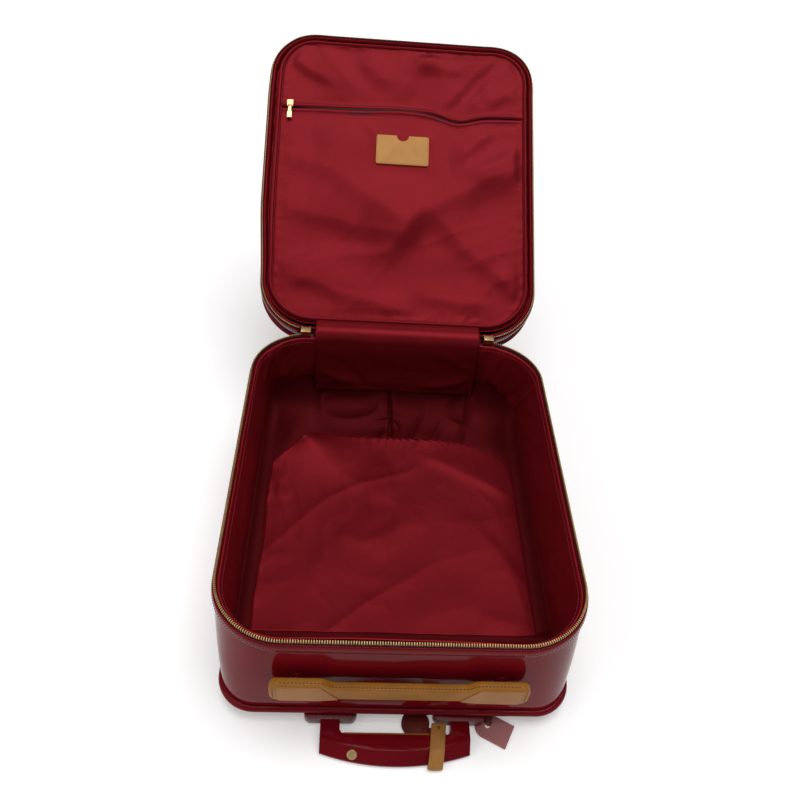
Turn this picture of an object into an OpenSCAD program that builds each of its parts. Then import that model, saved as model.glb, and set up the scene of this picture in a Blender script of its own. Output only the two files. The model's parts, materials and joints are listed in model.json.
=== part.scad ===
// Soft-sided cabin trolley case, lying on its back with the lid folded open.
// X runs across the case, Y from the carry handle end to the hinge end, Z up.
// The origin is the middle of the footprint of the open case, on the floor.

/* [Case] */
// Width of the case across its zip line
case_w = 350; // [330:5:370]
// Length of the case from the carry handle end to the hinge end
case_l = 420; // [400:5:440]
// Height of the zip line above the underside of the back panel
case_h = 120; // [110:5:130]
// Depth of the lid behind the zip line
lid_h = 45; // [40:1:55]
// Radius of the four upright corners
corner_r = 68; // [60:1:76]
// How far the two end walls lean out between the zip line and the back panel
flare = 6; // [3:1:7]
// Width of the back panel
base_w = 340; // [336:1:350]
// Radius of the four corners of the back panel
base_corner_r = 34; // [30:1:45]
// Thickness of the padded walls
wall_t = 4; // [3:0.5:5]
// How far the lid is folded open, counted from closed
open_angle = 146; // [120:1:150]

/* [Wheels and feet] */
// Radius of the tyres
wheel_r = 20; // [18:1:22]
// Width of the tyres
wheel_w = 16; // [14:1:17]
// Distance from the middle of the case to the middle of each wheel
wheel_x = 129; // [127:1:131]

/* [Trolley handle] */
// Height of the skid rails that hold the trolley tubes under the back panel
rail_h = 14; // [14:1:16]
// Distance from the middle of the case to the middle of each tube
tube_x = 62.5; // [58:0.5:66]
// Width of the red legs of the grip
leg_w = 18.5; // [18:0.5:20]
// How far the curved outer edge of the grip reaches from the case
grip_reach = 53.5; // [50:0.5:56]

/* [Carry handle] */
// Half of the length of the leather carry handle
handle_half = 118; // [110:1:122]
// Height of its wide ends
handle_end_h = 29; // [26:1:34]
// Height of its narrow middle
handle_mid_h = 17; // [15:1:22]

/* [Lining] */
// Half of the width of the loose flap on the floor of the case
flap_half = 150; // [140:1:152]
// Position of the sewn edge of the flap, from the carry handle end
flap_near = 72; // [68:1:80]
// Length of the flap
flap_l = 273; // [260:1:276]
// Distance of the pocket's zip from the hinge, along the lid
pocket_zip_at = 315; // [305:1:320]

/* [Hidden] */
$fn = 64;
eps = 0.01;

patent_red = [0.36, 0.02, 0.06];
plastic_red = [0.32, 0.01, 0.04];
satin_red = [0.47, 0.08, 0.12];
natural_leather = [0.66, 0.46, 0.24];
tag_brown = [0.30, 0.06, 0.05];
brass = [0.80, 0.60, 0.28];
tube_silver = [0.72, 0.72, 0.74];
tyre_black = [0.06, 0.06, 0.06];

// Levels above the floor
panel_t = 3;
base_z = rail_h;
rim_z = base_z + case_h;
zip_h = 2.7;
zip_gap = 0.3;
wall_top = rim_z - zip_gap - zip_h;
wall_bottom = base_z + panel_t;

// The hinge line runs just outside the far wall, at the height of the zip
hinge_gap = 2;
hinge_y = case_l + hinge_gap;
hinge_half = 107;
zip_end = 122;
gusset_r = 1.7;

// Piping rolls stand proud of the walls by this much
piping = 4;
piping_h = 8;
binding_t = 1;
binding_h = 8;

// Footprint of the open case along Y, which sets the origin
strap_t = 1.5;
strap_front = -grip_reach - 1.4 - strap_t;
lid_far = hinge_y - (hinge_gap + case_l + piping) * cos(open_angle) + (lid_h - 1) * sin(open_angle);
mid_y = (lid_far + strap_front) / 2;

module case_frame() translate([0, -mid_y, 0]) children();

// Inside the lid's frame the lid is closed: Y is 0 at the hinge and Z is 0 at the zip line
module lid_frame() case_frame() translate([0, hinge_y, rim_z]) rotate([-open_angle, 0, 0]) children();

module rounded_rect(w, l, r) {
  square([w - 2 * r, l], center = true);
  square([w, l - 2 * r], center = true);
  for (x = [-1, 1], y = [-1, 1]) translate([x * (w / 2 - r), y * (l / 2 - r)]) circle(r);
}

// Outline of the case in plan, grown outwards by g
module plan(g) translate([0, case_l / 2]) rounded_rect(case_w + 2 * g, case_l + 2 * g, corner_r + g);

module ring(outer, inner, h) linear_extrude(h) difference() {
  plan(outer);
  plan(inner);
}

// Outline of the back panel, grown outwards by g
module base_plan(g) translate([0, case_l / 2])
  rounded_rect(base_w + 2 * g, case_l + 2 * (flare + g), base_corner_r + g);

// The same outlines in the closed lid's frame
module lid_plan(g) translate([0, -hinge_gap - case_l]) plan(g);

module lid_ring(outer, inner, h) translate([0, -hinge_gap - case_l]) ring(outer, inner, h);

// The walls change from the outline of the back panel to that of the zip below this level
straight_z = 120;

// A solid that follows the walls from the back panel to the zip line, grown outwards
module leaning(grow_bottom, grow_top, z0, z1) {
  hull() {
    translate([0, 0, z0]) linear_extrude(eps) base_plan(grow_bottom);
    translate([0, 0, straight_z - eps]) linear_extrude(eps) plan(grow_top);
  }
  translate([0, 0, straight_z]) linear_extrude(z1 - straight_z) plan(grow_top);
}

// The room inside such a solid, open at both ends
module leaning_room(grow_bottom, grow_top, z0, z1) {
  leaning(grow_bottom, grow_top, z0, z1 + 1);
  translate([0, 0, z0 - 1]) linear_extrude(1) base_plan(grow_bottom);
}

module along_y(y0, y1) translate([0, y1, 0]) rotate([90, 0, 0]) linear_extrude(y1 - y0) children();

module along_x(x0, x1) translate([x0, 0, 0]) rotate([90, 0, 90]) linear_extrude(x1 - x0) children();

// ---- Wheels -------------------------------------------------------------------------------

axle_y = case_l + 12;
axle_z = wheel_r;
axle_r = 3;
well_half = 17;
well_front = axle_y - wheel_r - 6;
well_top = axle_z + wheel_r + 6;

// Room for one wheel housing in the corner of the shell, cut out past the far wall
well_depth = 60;
shell_gap = 0.2;
cloth_gap = 0.4;

module well_room(gap) translate([wheel_x - well_half - gap, well_front - gap, -eps])
  cube([2 * (well_half + gap), well_depth, well_top + gap]);

module both_well_rooms(gap) {
  well_room(gap);
  mirror([1, 0, 0]) well_room(gap);
}

module wheel_housing_right_shape() {
  cavity_half = wheel_w / 2 + 1.5;
  cavity_r = wheel_r + 2;
  difference() {
    translate([wheel_x - well_half, 0, 0]) along_x(0, 2 * well_half) difference() {
      union() {
        translate([well_front, 5]) square([axle_y + 4 - well_front, well_top - 5]);
        translate([axle_y + 4, axle_z]) circle(9);
      }
      translate([well_front - 1, -1]) square([10, 12]);
    }
    translate([wheel_x - cavity_half, 0, 0]) along_x(0, 2 * cavity_half) union() {
      translate([axle_y, axle_z]) circle(cavity_r);
      translate([axle_y - cavity_r, -10]) square([2 * cavity_r, axle_z + 10]);
      translate([axle_y, -10]) square([40, axle_z + cavity_r + 10]);
    }
    translate([wheel_x - 30, axle_y, axle_z]) rotate([0, 90, 0]) cylinder(h = 60, r = axle_r);
  }
}

module axle_right_shape() translate([wheel_x - well_half + 1, axle_y, axle_z]) rotate([0, 90, 0])
  cylinder(h = 2 * well_half - 2, r = axle_r - 0.01);

tyre_t = 5;

module tyre_right_shape() translate([wheel_x - wheel_w / 2, axle_y, axle_z]) rotate([0, 90, 0])
  rotate_extrude($fn = 96) polygon([[wheel_r - tyre_t, 1], [wheel_r - 2, 0], [wheel_r, 3],
    [wheel_r, wheel_w - 3], [wheel_r - 2, wheel_w], [wheel_r - tyre_t, wheel_w - 1]]);

module hub_right_shape() translate([wheel_x - wheel_w / 2, axle_y, axle_z]) rotate([0, 90, 0])
  difference() {
    union() {
      translate([0, 0, 1]) cylinder(h = wheel_w - 2, r = wheel_r - tyre_t, $fn = 96);
      translate([0, 0, -0.6]) cylinder(h = wheel_w + 1.2, r = 6);
    }
    translate([0, 0, -2]) cylinder(h = wheel_w + 4, r = axle_r + 0.04);
    for (z = [-1, wheel_w - 4]) translate([0, 0, z]) difference() {
      cylinder(h = 5, r = wheel_r - tyre_t - 2);
      translate([0, 0, -1]) cylinder(h = 7, r = 7.5);
    }
  }

// ---- Body shell ---------------------------------------------------------------------------

module base_panel() color(patent_red) case_frame() difference() {
  translate([0, 0, base_z]) linear_extrude(panel_t) base_plan(0);
  both_well_rooms(shell_gap);
}

module wall_band() color(patent_red) case_frame() difference() {
  leaning(0, 0, wall_bottom, wall_top);
  leaning_room(-wall_t, -wall_t, wall_bottom, wall_top);
  both_well_rooms(shell_gap);
}

module base_piping() color(patent_red) case_frame() difference() {
  translate([0, 0, base_z]) linear_extrude(piping_h) difference() {
    base_plan(piping);
    base_plan(0.05);
  }
  translate([0, 0, wall_bottom - 0.1]) linear_extrude(piping_h) base_plan(0.35);
  both_well_rooms(shell_gap);
}

module rim_binding() color(patent_red) case_frame()
  translate([0, 0, wall_top - 2 - binding_h]) ring(binding_t + 0.5, 0.6, binding_h);

// Both zip halves stop short of the hinge, where the sliders park
module hinge_notch(h) translate([-zip_end, -20, -h]) cube([2 * zip_end, 40, 2 * h]);

module body_zip() color(brass) case_frame() difference() {
  translate([0, 0, wall_top]) ring(0, -3, zip_h);
  translate([0, case_l, rim_z]) hinge_notch(10);
}

lining_t = 1.6;
floor_z = wall_bottom + lining_t;

module wall_lining() color(satin_red) case_frame() difference() {
  leaning(-wall_t - 0.9, -wall_t - 0.4, floor_z + 0.2, wall_top - 2);
  leaning_room(-wall_t - 0.9 - lining_t, -wall_t - 0.4 - lining_t, floor_z + 0.2, wall_top - 2);
  both_well_rooms(cloth_gap);
}

module floor_lining() color(satin_red) case_frame() difference() {
  translate([0, 0, wall_bottom + 0.05]) linear_extrude(lining_t) base_plan(-wall_t - 1);
  both_well_rooms(cloth_gap);
}

module hinge_strip() color(satin_red) case_frame() {
  translate([-hinge_half, hinge_y, rim_z]) rotate([0, 90, 0]) cylinder(h = 2 * hinge_half, r = gusset_r);
  translate([-hinge_half, case_l + 0.05, wall_top - 1.5]) cube([2 * hinge_half, 1.1, 4]);
}

module wheel_housing_left() color(plastic_red) case_frame() mirror([1, 0, 0]) wheel_housing_right_shape();
module wheel_housing_right() color(plastic_red) case_frame() wheel_housing_right_shape();
module axle_left() color(tube_silver) case_frame() mirror([1, 0, 0]) axle_right_shape();
module axle_right() color(tube_silver) case_frame() axle_right_shape();
module tyre_left() color(tyre_black) case_frame() mirror([1, 0, 0]) tyre_right_shape();
module tyre_right() color(tyre_black) case_frame() tyre_right_shape();
module hub_left() color(tyre_black) case_frame() mirror([1, 0, 0]) hub_right_shape();
module hub_right() color(tyre_black) case_frame() hub_right_shape();

// Feet stand as far out as the tyres, so the upright case rests level
foot_z = 72;
foot_h = 20;
foot_w = 26;

module foot_right_shape() difference() {
  translate([wheel_x - foot_w / 2, case_l, foot_z]) along_x(0, foot_w)
    polygon([[0, -foot_h / 2], [axle_y + wheel_r - case_l - 4, -foot_h / 2 + 3],
      [axle_y + wheel_r - case_l, -foot_h / 2 + 7], [axle_y + wheel_r - case_l, foot_h / 2 - 7],
      [axle_y + wheel_r - case_l - 4, foot_h / 2 - 3], [0, foot_h / 2]]);
  leaning(0.02, 0.02, wall_bottom, wall_top);
}

module foot_left() color(plastic_red) case_frame() mirror([1, 0, 0]) foot_right_shape();
module foot_right() color(plastic_red) case_frame() foot_right_shape();

// ---- Skid rails and telescopic tubes ------------------------------------------------------

rail_w = 46;
rail_l = 400;
tube_wall = 0.9;
tube_z = 7.4;
inner_w = 15.5;
inner_h = 6;
slide_gap = 0.3;
mid_w = inner_w + 2 * slide_gap + 2 * tube_wall;
mid_h = inner_h + 2 * slide_gap + 2 * tube_wall;
outer_w = mid_w + 2 * slide_gap + 2 * tube_wall;
outer_h = mid_h + 2 * slide_gap + 2 * tube_wall;
escutcheon_d = 14;
escutcheon_w = 51;
escutcheon_low = 4.2;
escutcheon_r = 7;
outer_end = 392;
mid_start = -13;
mid_end = 380;
inner_start = -32;
inner_end = 366;

module tube_section(w, h) rounded_rect(w, h, h * 0.35);

module flat_tube(x, w, h, y0, y1) translate([x, 0, tube_z]) along_y(y0, y1) difference() {
  tube_section(w, h);
  tube_section(w - 2 * tube_wall, h - 2 * tube_wall);
}

module rail(x) translate([x, 0, 0]) difference() {
  along_y(0.5, rail_l) polygon([[-rail_w / 2 + 4, 0], [rail_w / 2 - 4, 0], [rail_w / 2, 5],
    [rail_w / 2, rail_h - 0.05], [-rail_w / 2, rail_h - 0.05], [-rail_w / 2, 5]]);
  translate([0, 0, tube_z]) along_y(-1, outer_end + 1) tube_section(outer_w + 0.1, outer_h + 0.1);
}

module rail_left() color(plastic_red) case_frame() rail(-tube_x);
module rail_right() color(plastic_red) case_frame() rail(tube_x);

// Screw heads sit on the flat sides of the rails, clear of the floor
screw_places = [30, 150, 270, 385];
screw_z = 9;
screw_r = 3.2;
screw_h = 1.6;

module rail_screws() color(tube_silver) case_frame()
  for (side = [-1, 1], y = screw_places, edge = [-1, 1])
    translate([side * tube_x + edge * (rail_w / 2 + 0.02), y, screw_z]) rotate([0, edge * 90, 0])
      cylinder(h = screw_h, r1 = screw_r, r2 = screw_r - 1);

module escutcheon(x) translate([x, 0, 0]) difference() {
  translate([0, 0, escutcheon_low]) linear_extrude(rail_h - 0.1 - escutcheon_low) union() {
    translate([0, -escutcheon_d / 2])
      square([escutcheon_w - 2 * escutcheon_r, escutcheon_d], center = true);
    translate([-escutcheon_w / 2, escutcheon_r - escutcheon_d])
      square([escutcheon_w, escutcheon_d - escutcheon_r]);
    for (side = [-1, 1])
      translate([side * (escutcheon_w / 2 - escutcheon_r), escutcheon_r - escutcheon_d])
        circle(escutcheon_r);
  }
  translate([0, 0, tube_z]) along_y(-escutcheon_d - 1, 1)
    tube_section(mid_w + 2 * slide_gap, mid_h + 2 * slide_gap);
}

module escutcheon_left() color(plastic_red) case_frame() escutcheon(-tube_x);
module escutcheon_right() color(plastic_red) case_frame() escutcheon(tube_x);
module outer_tube(x) color(tube_silver) case_frame() flat_tube(x, outer_w, outer_h, 0.5, outer_end);
module mid_tube(x) color(tube_silver) case_frame() flat_tube(x, mid_w, mid_h, mid_start, mid_end);
module inner_tube(x) color(tube_silver) case_frame() flat_tube(x, inner_w, inner_h, inner_start, inner_end);
module outer_tube_left() outer_tube(-tube_x);
module outer_tube_right() outer_tube(tube_x);
module mid_tube_left() mid_tube(-tube_x);
module mid_tube_right() mid_tube(tube_x);
module inner_tube_left() inner_tube(-tube_x);
module inner_tube_right() inner_tube(tube_x);

// ---- Grip ---------------------------------------------------------------------------------

grip_half = tube_x + leg_w / 2;
grip_z0 = 2.2;
grip_z1 = 14.2;
grip_start = escutcheon_d + 0.3;
grip_inner = 28;
hand_corner_r = 6;
grip_end_reach = 42;
bow_rise = grip_reach - grip_end_reach;
bow_r = (grip_half * grip_half + bow_rise * bow_rise) / (2 * bow_rise);
bow_y = bow_r - grip_reach;
slope_z = 4.2;
slope_in = 10;
bar_half = 50;
bar_z0 = 5;
bar_z1 = 11.5;
bar_travel = 1.8;
bar_depth = 5.4;

// The gap for the fingers, with two rounded corners
module hand_opening(half) {
  translate([-half, -grip_inner + hand_corner_r]) square([2 * half, grip_inner]);
  translate([-half + hand_corner_r, -grip_inner]) square([2 * (half - hand_corner_r), grip_inner]);
  for (side = [-1, 1]) translate([side * (half - hand_corner_r), -grip_inner + hand_corner_r])
    circle(hand_corner_r);
}

module grip_plan() difference() {
  intersection() {
    translate([0, bow_y]) circle(bow_r, $fn = 240);
    translate([-grip_half, -grip_reach - 1]) square([2 * grip_half, grip_reach + 1 - grip_start]);
  }
  hand_opening(grip_half - leg_w);
}

module grip() color(patent_red) case_frame() difference() {
  intersection() {
    translate([0, 0, grip_z0]) linear_extrude(grip_z1 - grip_z0) grip_plan();
    union() {
      translate([0, bow_y, 0]) cylinder(h = slope_z, r = bow_r, $fn = 240);
      translate([0, bow_y, slope_z])
        cylinder(h = grip_z1 - slope_z + 1, r1 = bow_r, r2 = bow_r - slope_in * 1.1, $fn = 240);
    }
  }
  for (side = [-1, 1]) translate([side * tube_x, 0, tube_z]) along_y(-32.1, 0)
    tube_section(inner_w + 0.1, inner_h + 0.1);
  translate([-bar_half - 0.3, -grip_inner - 4.4, bar_z0 - 0.3])
    cube([2 * bar_half + 0.6, 5.4, bar_z1 - bar_z0 + 0.6]);
}

module release_bar() color(natural_leather) case_frame()
  translate([-bar_half, -grip_inner - 2.4, bar_z0]) cube([2 * bar_half, bar_depth, bar_z1 - bar_z0]);

// Two brass studs on the sloping face of the grip
stud_x = 40.5;
stud_r = 5;

module grip_studs() color(brass) case_frame() for (side = [-1, 1])
  translate([side * stud_x, -45.2, 8.6]) rotate([45, 0, 0]) {
    translate([0, 0, -3]) cylinder(h = 3.1, r = stud_r - 1.6);
    cylinder(h = 0.7, r1 = stud_r, r2 = stud_r - 0.6);
  }

// ---- Carry handle -------------------------------------------------------------------------

handle_z = 78.5;
handle_front = 20;
handle_back = 11;
post_x = 94;
post_r = 2.5;
post_head_r = 7;
post_head_t = 1.6;
handle_travel = 3.8;

module handle_outline() {
  end_w = 48;
  for (side = [-1, 1]) translate([side * (handle_half - end_w / 2), 0])
    rounded_rect(end_w, handle_end_h, 9);
  square([2 * handle_half - 80, handle_mid_h], center = true);
  polygon([[-72, handle_end_h / 2], [-58, handle_mid_h / 2], [-58, -handle_mid_h / 2],
    [-72, -handle_end_h / 2]]);
  polygon([[72, handle_end_h / 2], [58, handle_mid_h / 2], [58, -handle_mid_h / 2],
    [72, -handle_end_h / 2]]);
}

module carry_handle() color(natural_leather) case_frame() difference() {
  translate([0, 0, handle_z]) along_y(-handle_front, -handle_back) handle_outline();
  for (side = [-1, 1]) translate([side * post_x, -handle_back, handle_z]) rotate([90, 0, 0]) {
    translate([0, 0, -1]) cylinder(h = 4, r = post_r + 0.08);
    translate([0, 0, 1.6]) cylinder(h = 5.8, r = post_head_r + 0.3);
  }
}

module handle_posts() color(brass) case_frame() for (side = [-1, 1])
  translate([side * post_x, 0, handle_z]) rotate([90, 0, 0]) {
    translate([0, 0, 0.5]) cylinder(h = handle_back + 6.5, r = post_r);
    translate([0, 0, handle_back + 7 - post_head_t]) cylinder(h = post_head_t, r = post_head_r);
    translate([0, 0, 3.4]) cylinder(h = 1.6, r = 6);
  }

// ---- Zip sliders and pulls ----------------------------------------------------------------

slider_x = 115;
pull_y = 427.5;
pull_z = 134.5;

module main_slider(x) translate([x, case_l, 0]) {
  translate([-6, -3.4, wall_top + 0.1]) cube([12, 8.6, 7]);
  for (side = [-1, 1]) translate([side * 4.8 - 1.2, 5, wall_top + 0.1]) cube([2.4, 3.6, 6]);
  translate([-4, pull_y - case_l, pull_z]) rotate([0, 90, 0]) cylinder(h = 8, r = 0.9);
}

module slider_left() color(brass) case_frame() main_slider(-slider_x);
module slider_right() color(brass) case_frame() main_slider(slider_x);

module pull_tab(x) translate([x, pull_y, pull_z]) difference() {
  union() {
    translate([-3.2, 0, 0]) rotate([0, 90, 0]) cylinder(h = 6.4, r = 1.7);
    translate([-3.2, -0.7, -24]) cube([6.4, 1.4, 23]);
    translate([0, 0.7, -23.5]) rotate([90, 0, 0]) cylinder(h = 1.4, r = 3.2);
  }
  translate([-6, 0, 0]) rotate([0, 90, 0]) cylinder(h = 12, r = 0.95);
}

module pull_left() color(brass) case_frame() pull_tab(-slider_x);
module pull_right() color(brass) case_frame() pull_tab(slider_x);

// ---- Lid ----------------------------------------------------------------------------------

slider_room = 9;

// Clearance in the lid's rim for the two parked sliders
module slider_rooms() for (side = [-1, 1])
  translate([side * slider_x - slider_room, -hinge_gap - 6, -1]) cube([2 * slider_room, 12, 11]);

module lid_panel() color(patent_red) lid_frame() translate([0, 0, lid_h - panel_t])
  linear_extrude(panel_t) lid_plan(-0.5);

module lid_wall() color(patent_red) lid_frame() difference() {
  translate([0, 0, 3]) lid_ring(0, -wall_t, lid_h - panel_t - 3.05);
  slider_rooms();
}

module lid_piping() color(patent_red) lid_frame() translate([0, 0, lid_h - 1 - piping_h])
  lid_ring(piping, 0.05, piping_h);

module lid_binding() color(patent_red) lid_frame() difference() {
  translate([0, 0, 5]) lid_ring(binding_t, 0.05, binding_h);
  slider_rooms();
  translate([0, -hinge_gap, 0]) hinge_notch(20);
}

module lid_zip() color(brass) lid_frame() difference() {
  translate([0, 0, zip_gap]) lid_ring(0, -3, zip_h);
  translate([0, -hinge_gap, 0]) hinge_notch(10);
}

lid_depth_lining = lid_h - panel_t - lining_t - 0.2;

module lid_lining() color(satin_red) lid_frame() difference() {
  union() {
    translate([0, 0, 4]) lid_ring(-wall_t - 0.3, -wall_t - 0.3 - lining_t, lid_depth_lining - 4);
    translate([0, 0, lid_depth_lining]) linear_extrude(lining_t) lid_plan(-wall_t - 0.3);
  }
  slider_rooms();
}

pocket_depth = 5;
pocket_t = 3;
pocket_margin = wall_t + 3;
zip_tape_half = 6;

// The satin panel that closes the lid's pocket, cut at the pocket's zip
module pocket_panel(from, to) translate([0, 0, pocket_depth]) linear_extrude(pocket_t) intersection() {
  lid_plan(-pocket_margin);
  translate([-case_w, -hinge_gap - to]) square([2 * case_w, to - from]);
}

module lid_pocket_front() color(satin_red) lid_frame() pocket_panel(6, pocket_zip_at - zip_tape_half);
module lid_pocket_top() color(satin_red) lid_frame() pocket_panel(pocket_zip_at + zip_tape_half, case_l);

pocket_zip_half = 158;

module pocket_zip_chain() color(brass) lid_frame() {
  translate([-pocket_zip_half, -hinge_gap - pocket_zip_at - zip_tape_half, pocket_depth + 0.4])
    cube([2 * pocket_zip_half, 2 * zip_tape_half, 1.2]);
  translate([-pocket_zip_half, -hinge_gap - pocket_zip_at - 2, pocket_depth - 0.9])
    cube([2 * pocket_zip_half, 4, 2.4]);
}

card_w = 70;
card_l = 42;
card_at = 237;

module card_patch() color(natural_leather) lid_frame()
  translate([-1, -hinge_gap - card_at - card_l / 2, pocket_depth - 1.9]) linear_extrude(1.8) difference() {
    rounded_rect(card_w, card_l, 3);
    translate([0, -card_l / 2]) circle(8);
  }

pocket_slider_x = -153;
pocket_pull_z = pocket_depth - 3.4;

module pocket_slider() color(brass) lid_frame()
  translate([pocket_slider_x, -hinge_gap - pocket_zip_at, 0]) {
    translate([-4, -4.5, pocket_depth - 2.6]) cube([8, 6.9, 1.6]);
    translate([-2.6, 4.2, pocket_pull_z]) rotate([0, 90, 0]) cylinder(h = 5.2, r = 0.8);
    for (side = [-1, 1]) translate([side * 3 - 0.7, 1.5, pocket_pull_z - 0.8]) cube([1.4, 4, 3.2]);
  }

module pocket_pull() color(brass) lid_frame()
  translate([pocket_slider_x, -hinge_gap - pocket_zip_at + 4.2, pocket_pull_z]) difference() {
    union() {
      translate([-2.1, 0, 0]) rotate([0, 90, 0]) cylinder(h = 4.2, r = 1.5);
      translate([-2.1, 1, -0.6]) cube([4.2, 9, 1.2]);
      translate([-3, 9, -0.6]) cube([6, 9, 1.2]);
    }
    translate([-6, 0, 0]) rotate([0, 90, 0]) cylinder(h = 12, r = 0.85);
  }

// ---- Tags ---------------------------------------------------------------------------------

strap_x = 36.5;
strap_w = 14;
strap_back = -24.6;
strap_top = grip_z1 + 0.4;
strap_slope_y = -44.8;

module tag_strap() color(natural_leather) case_frame() {
  along_x(strap_x - strap_w / 2, strap_x + strap_w / 2) difference() {
    polygon([[strap_back + strap_t, 0.2], [strap_back + strap_t, strap_top + strap_t],
      [strap_slope_y - 0.8, strap_top + strap_t], [strap_front, 5.5], [strap_front, 0.2]]);
    polygon([[strap_back, 1.7], [strap_back, strap_top], [strap_slope_y, strap_top],
      [strap_front + strap_t, 4.2], [strap_front + strap_t, 1.7]]);
  }
  difference() {
    translate([strap_x - strap_w / 2, strap_back + strap_t - 0.5, strap_top])
      cube([strap_w, 6.5, strap_t]);
    translate([strap_x, -20, 0]) cylinder(h = 30, r = 1.5);
  }
}

round_tag_r = 13.8;
round_tag_x = 20.5;
round_tag_y = -12;

module round_tag() color(tag_brown) case_frame() translate([round_tag_x, round_tag_y, 0.6])
  cylinder(h = 3, r = round_tag_r);

module tag_tab() color(natural_leather) case_frame() {
  translate([27.5, strap_back + strap_t, 3.65]) cube([9, 6, 1.4]);
  translate([29.5, -19.5, 3]) cylinder(h = 3, r = 1.8);
}

tag_pin_x = 97;
tag_pin_y = 60;
tag_hole_x = 91.5;
tag_hole_y = -13;
tag_half = 12.5;
tag_angle = -28;

module name_tag() color(patent_red) case_frame() translate([tag_hole_x, tag_hole_y, 0.3])
  linear_extrude(2.4) difference() {
    rotate(tag_angle) union() {
      circle(tag_half);
      translate([0, -tag_half]) square([24, 2 * tag_half]);
    }
    circle(2.5);
  }

module name_tag_strap() color(natural_leather) case_frame() difference() {
  hull() {
    translate([tag_hole_x + 1, tag_hole_y + 3, 2.75]) cylinder(h = 1.2, r = 3.5, $fn = 32);
    translate([tag_pin_x, tag_pin_y, 11]) cylinder(h = 1.6, r = 4.5, $fn = 32);
  }
  translate([tag_pin_x, tag_pin_y, 0]) cylinder(h = 20, r = 2.05);
}

module tag_anchor() color(brass) case_frame() translate([tag_pin_x, tag_pin_y, 0]) {
  translate([0, 0, 9.4]) cylinder(h = base_z - 9.4, r = 2);
  translate([0, 0, 8.4]) cylinder(h = 1.6, r = 4);
}

// ---- Loose flap over the floor ------------------------------------------------------------

flap_z = floor_z + 3;
flap_t = 3;
seam_roll_r = 1.5;

module floor_flap() color(satin_red) case_frame() {
  translate([0, flap_near + flap_l / 2, flap_z]) linear_extrude(flap_t)
    rounded_rect(2 * flap_half, flap_l, 22);
  translate([-flap_half + 30, flap_near + 2, floor_z + 0.4]) cube([2 * flap_half - 60, 8, 3]);
  translate([-flap_half + 30, flap_near, flap_z]) rotate([0, 90, 0])
    cylinder(h = 2 * flap_half - 60, r = seam_roll_r);
}

base_panel();
wall_band();
base_piping();
rim_binding();
body_zip();
wall_lining();
floor_lining();
hinge_strip();
rail_left();
rail_right();
rail_screws();
escutcheon_left();
escutcheon_right();
outer_tube_left();
outer_tube_right();
wheel_housing_left();
wheel_housing_right();
axle_left();
axle_right();
foot_left();
foot_right();
handle_posts();
slider_left();
slider_right();
tag_anchor();
mid_tube_left();
mid_tube_right();
inner_tube_left();
inner_tube_right();
grip();
grip_studs();
release_bar();
carry_handle();
tyre_left();
hub_left();
tyre_right();
hub_right();
lid_panel();
lid_wall();
lid_piping();
lid_binding();
lid_zip();
lid_lining();
lid_pocket_front();
lid_pocket_top();
pocket_zip_chain();
card_patch();
pocket_slider();
pocket_pull();
pull_left();
pull_right();
tag_strap();
round_tag();
tag_tab();
name_tag();
name_tag_strap();
floor_flap();
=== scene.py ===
"""Looks of a patent-covered cabin trolley case, lying on its back with the lid folded open.

Lengths are in metres in the frame of the CAD model. Shapes of the body and of the closed lid are
swept round the same outline, the zip line; lid pieces are then turned open about the hinge.
"""
import json
import math

import bmesh
import bpy
import numpy as np
from mathutils import Matrix, Vector


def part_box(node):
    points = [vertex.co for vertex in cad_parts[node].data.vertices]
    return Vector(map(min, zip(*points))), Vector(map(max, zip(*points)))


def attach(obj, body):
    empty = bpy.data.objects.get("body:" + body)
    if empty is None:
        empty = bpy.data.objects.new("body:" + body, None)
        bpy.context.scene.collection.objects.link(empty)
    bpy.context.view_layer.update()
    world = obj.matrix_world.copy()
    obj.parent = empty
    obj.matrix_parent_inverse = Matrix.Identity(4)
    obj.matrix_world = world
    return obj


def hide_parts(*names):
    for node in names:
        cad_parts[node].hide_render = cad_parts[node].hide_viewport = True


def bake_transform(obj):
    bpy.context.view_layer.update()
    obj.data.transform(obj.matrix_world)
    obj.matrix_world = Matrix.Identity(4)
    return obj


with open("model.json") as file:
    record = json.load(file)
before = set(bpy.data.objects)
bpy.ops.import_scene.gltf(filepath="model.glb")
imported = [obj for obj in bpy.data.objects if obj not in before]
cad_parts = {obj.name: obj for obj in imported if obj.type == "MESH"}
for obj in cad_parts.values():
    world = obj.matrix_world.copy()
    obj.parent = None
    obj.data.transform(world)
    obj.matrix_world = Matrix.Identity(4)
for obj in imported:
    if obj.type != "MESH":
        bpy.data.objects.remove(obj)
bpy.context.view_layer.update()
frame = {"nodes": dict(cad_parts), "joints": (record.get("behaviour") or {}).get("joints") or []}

MM = 0.001
scene = bpy.context.scene

# --- Measures taken from the frame ---


def find_joint(name):
    return next(j for j in frame["joints"] if j["name"] == name)


HINGE = Vector(find_joint("lid_hinge")["pos_m"])
FOLDED_BACK = math.radians(find_joint("lid_hinge")["range_deg"][0])
OPEN_LID = Matrix.Translation(HINGE) @ Matrix.Rotation(FOLDED_BACK, 4, "X") @ Matrix.Translation(-HINGE)

ZIP_LOW, ZIP_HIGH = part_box("body_zip")
HALF_W, NEAR_Y = ZIP_HIGH.x, ZIP_LOW.y
FAR_Y = HINGE.y - 2 * MM
CORNER_R = 68 * MM
RIM_Z = HINGE.z
BASE_LOW, BASE_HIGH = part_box("base_panel")
BASE_R = 34 * MM
WALL_T = 4 * MM
WALL_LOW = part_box("wall_band")[0].z
STRAIGHT_Z = 120 * MM  # the walls lean in below this height
FLOOR_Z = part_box("floor_lining")[1].z


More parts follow.
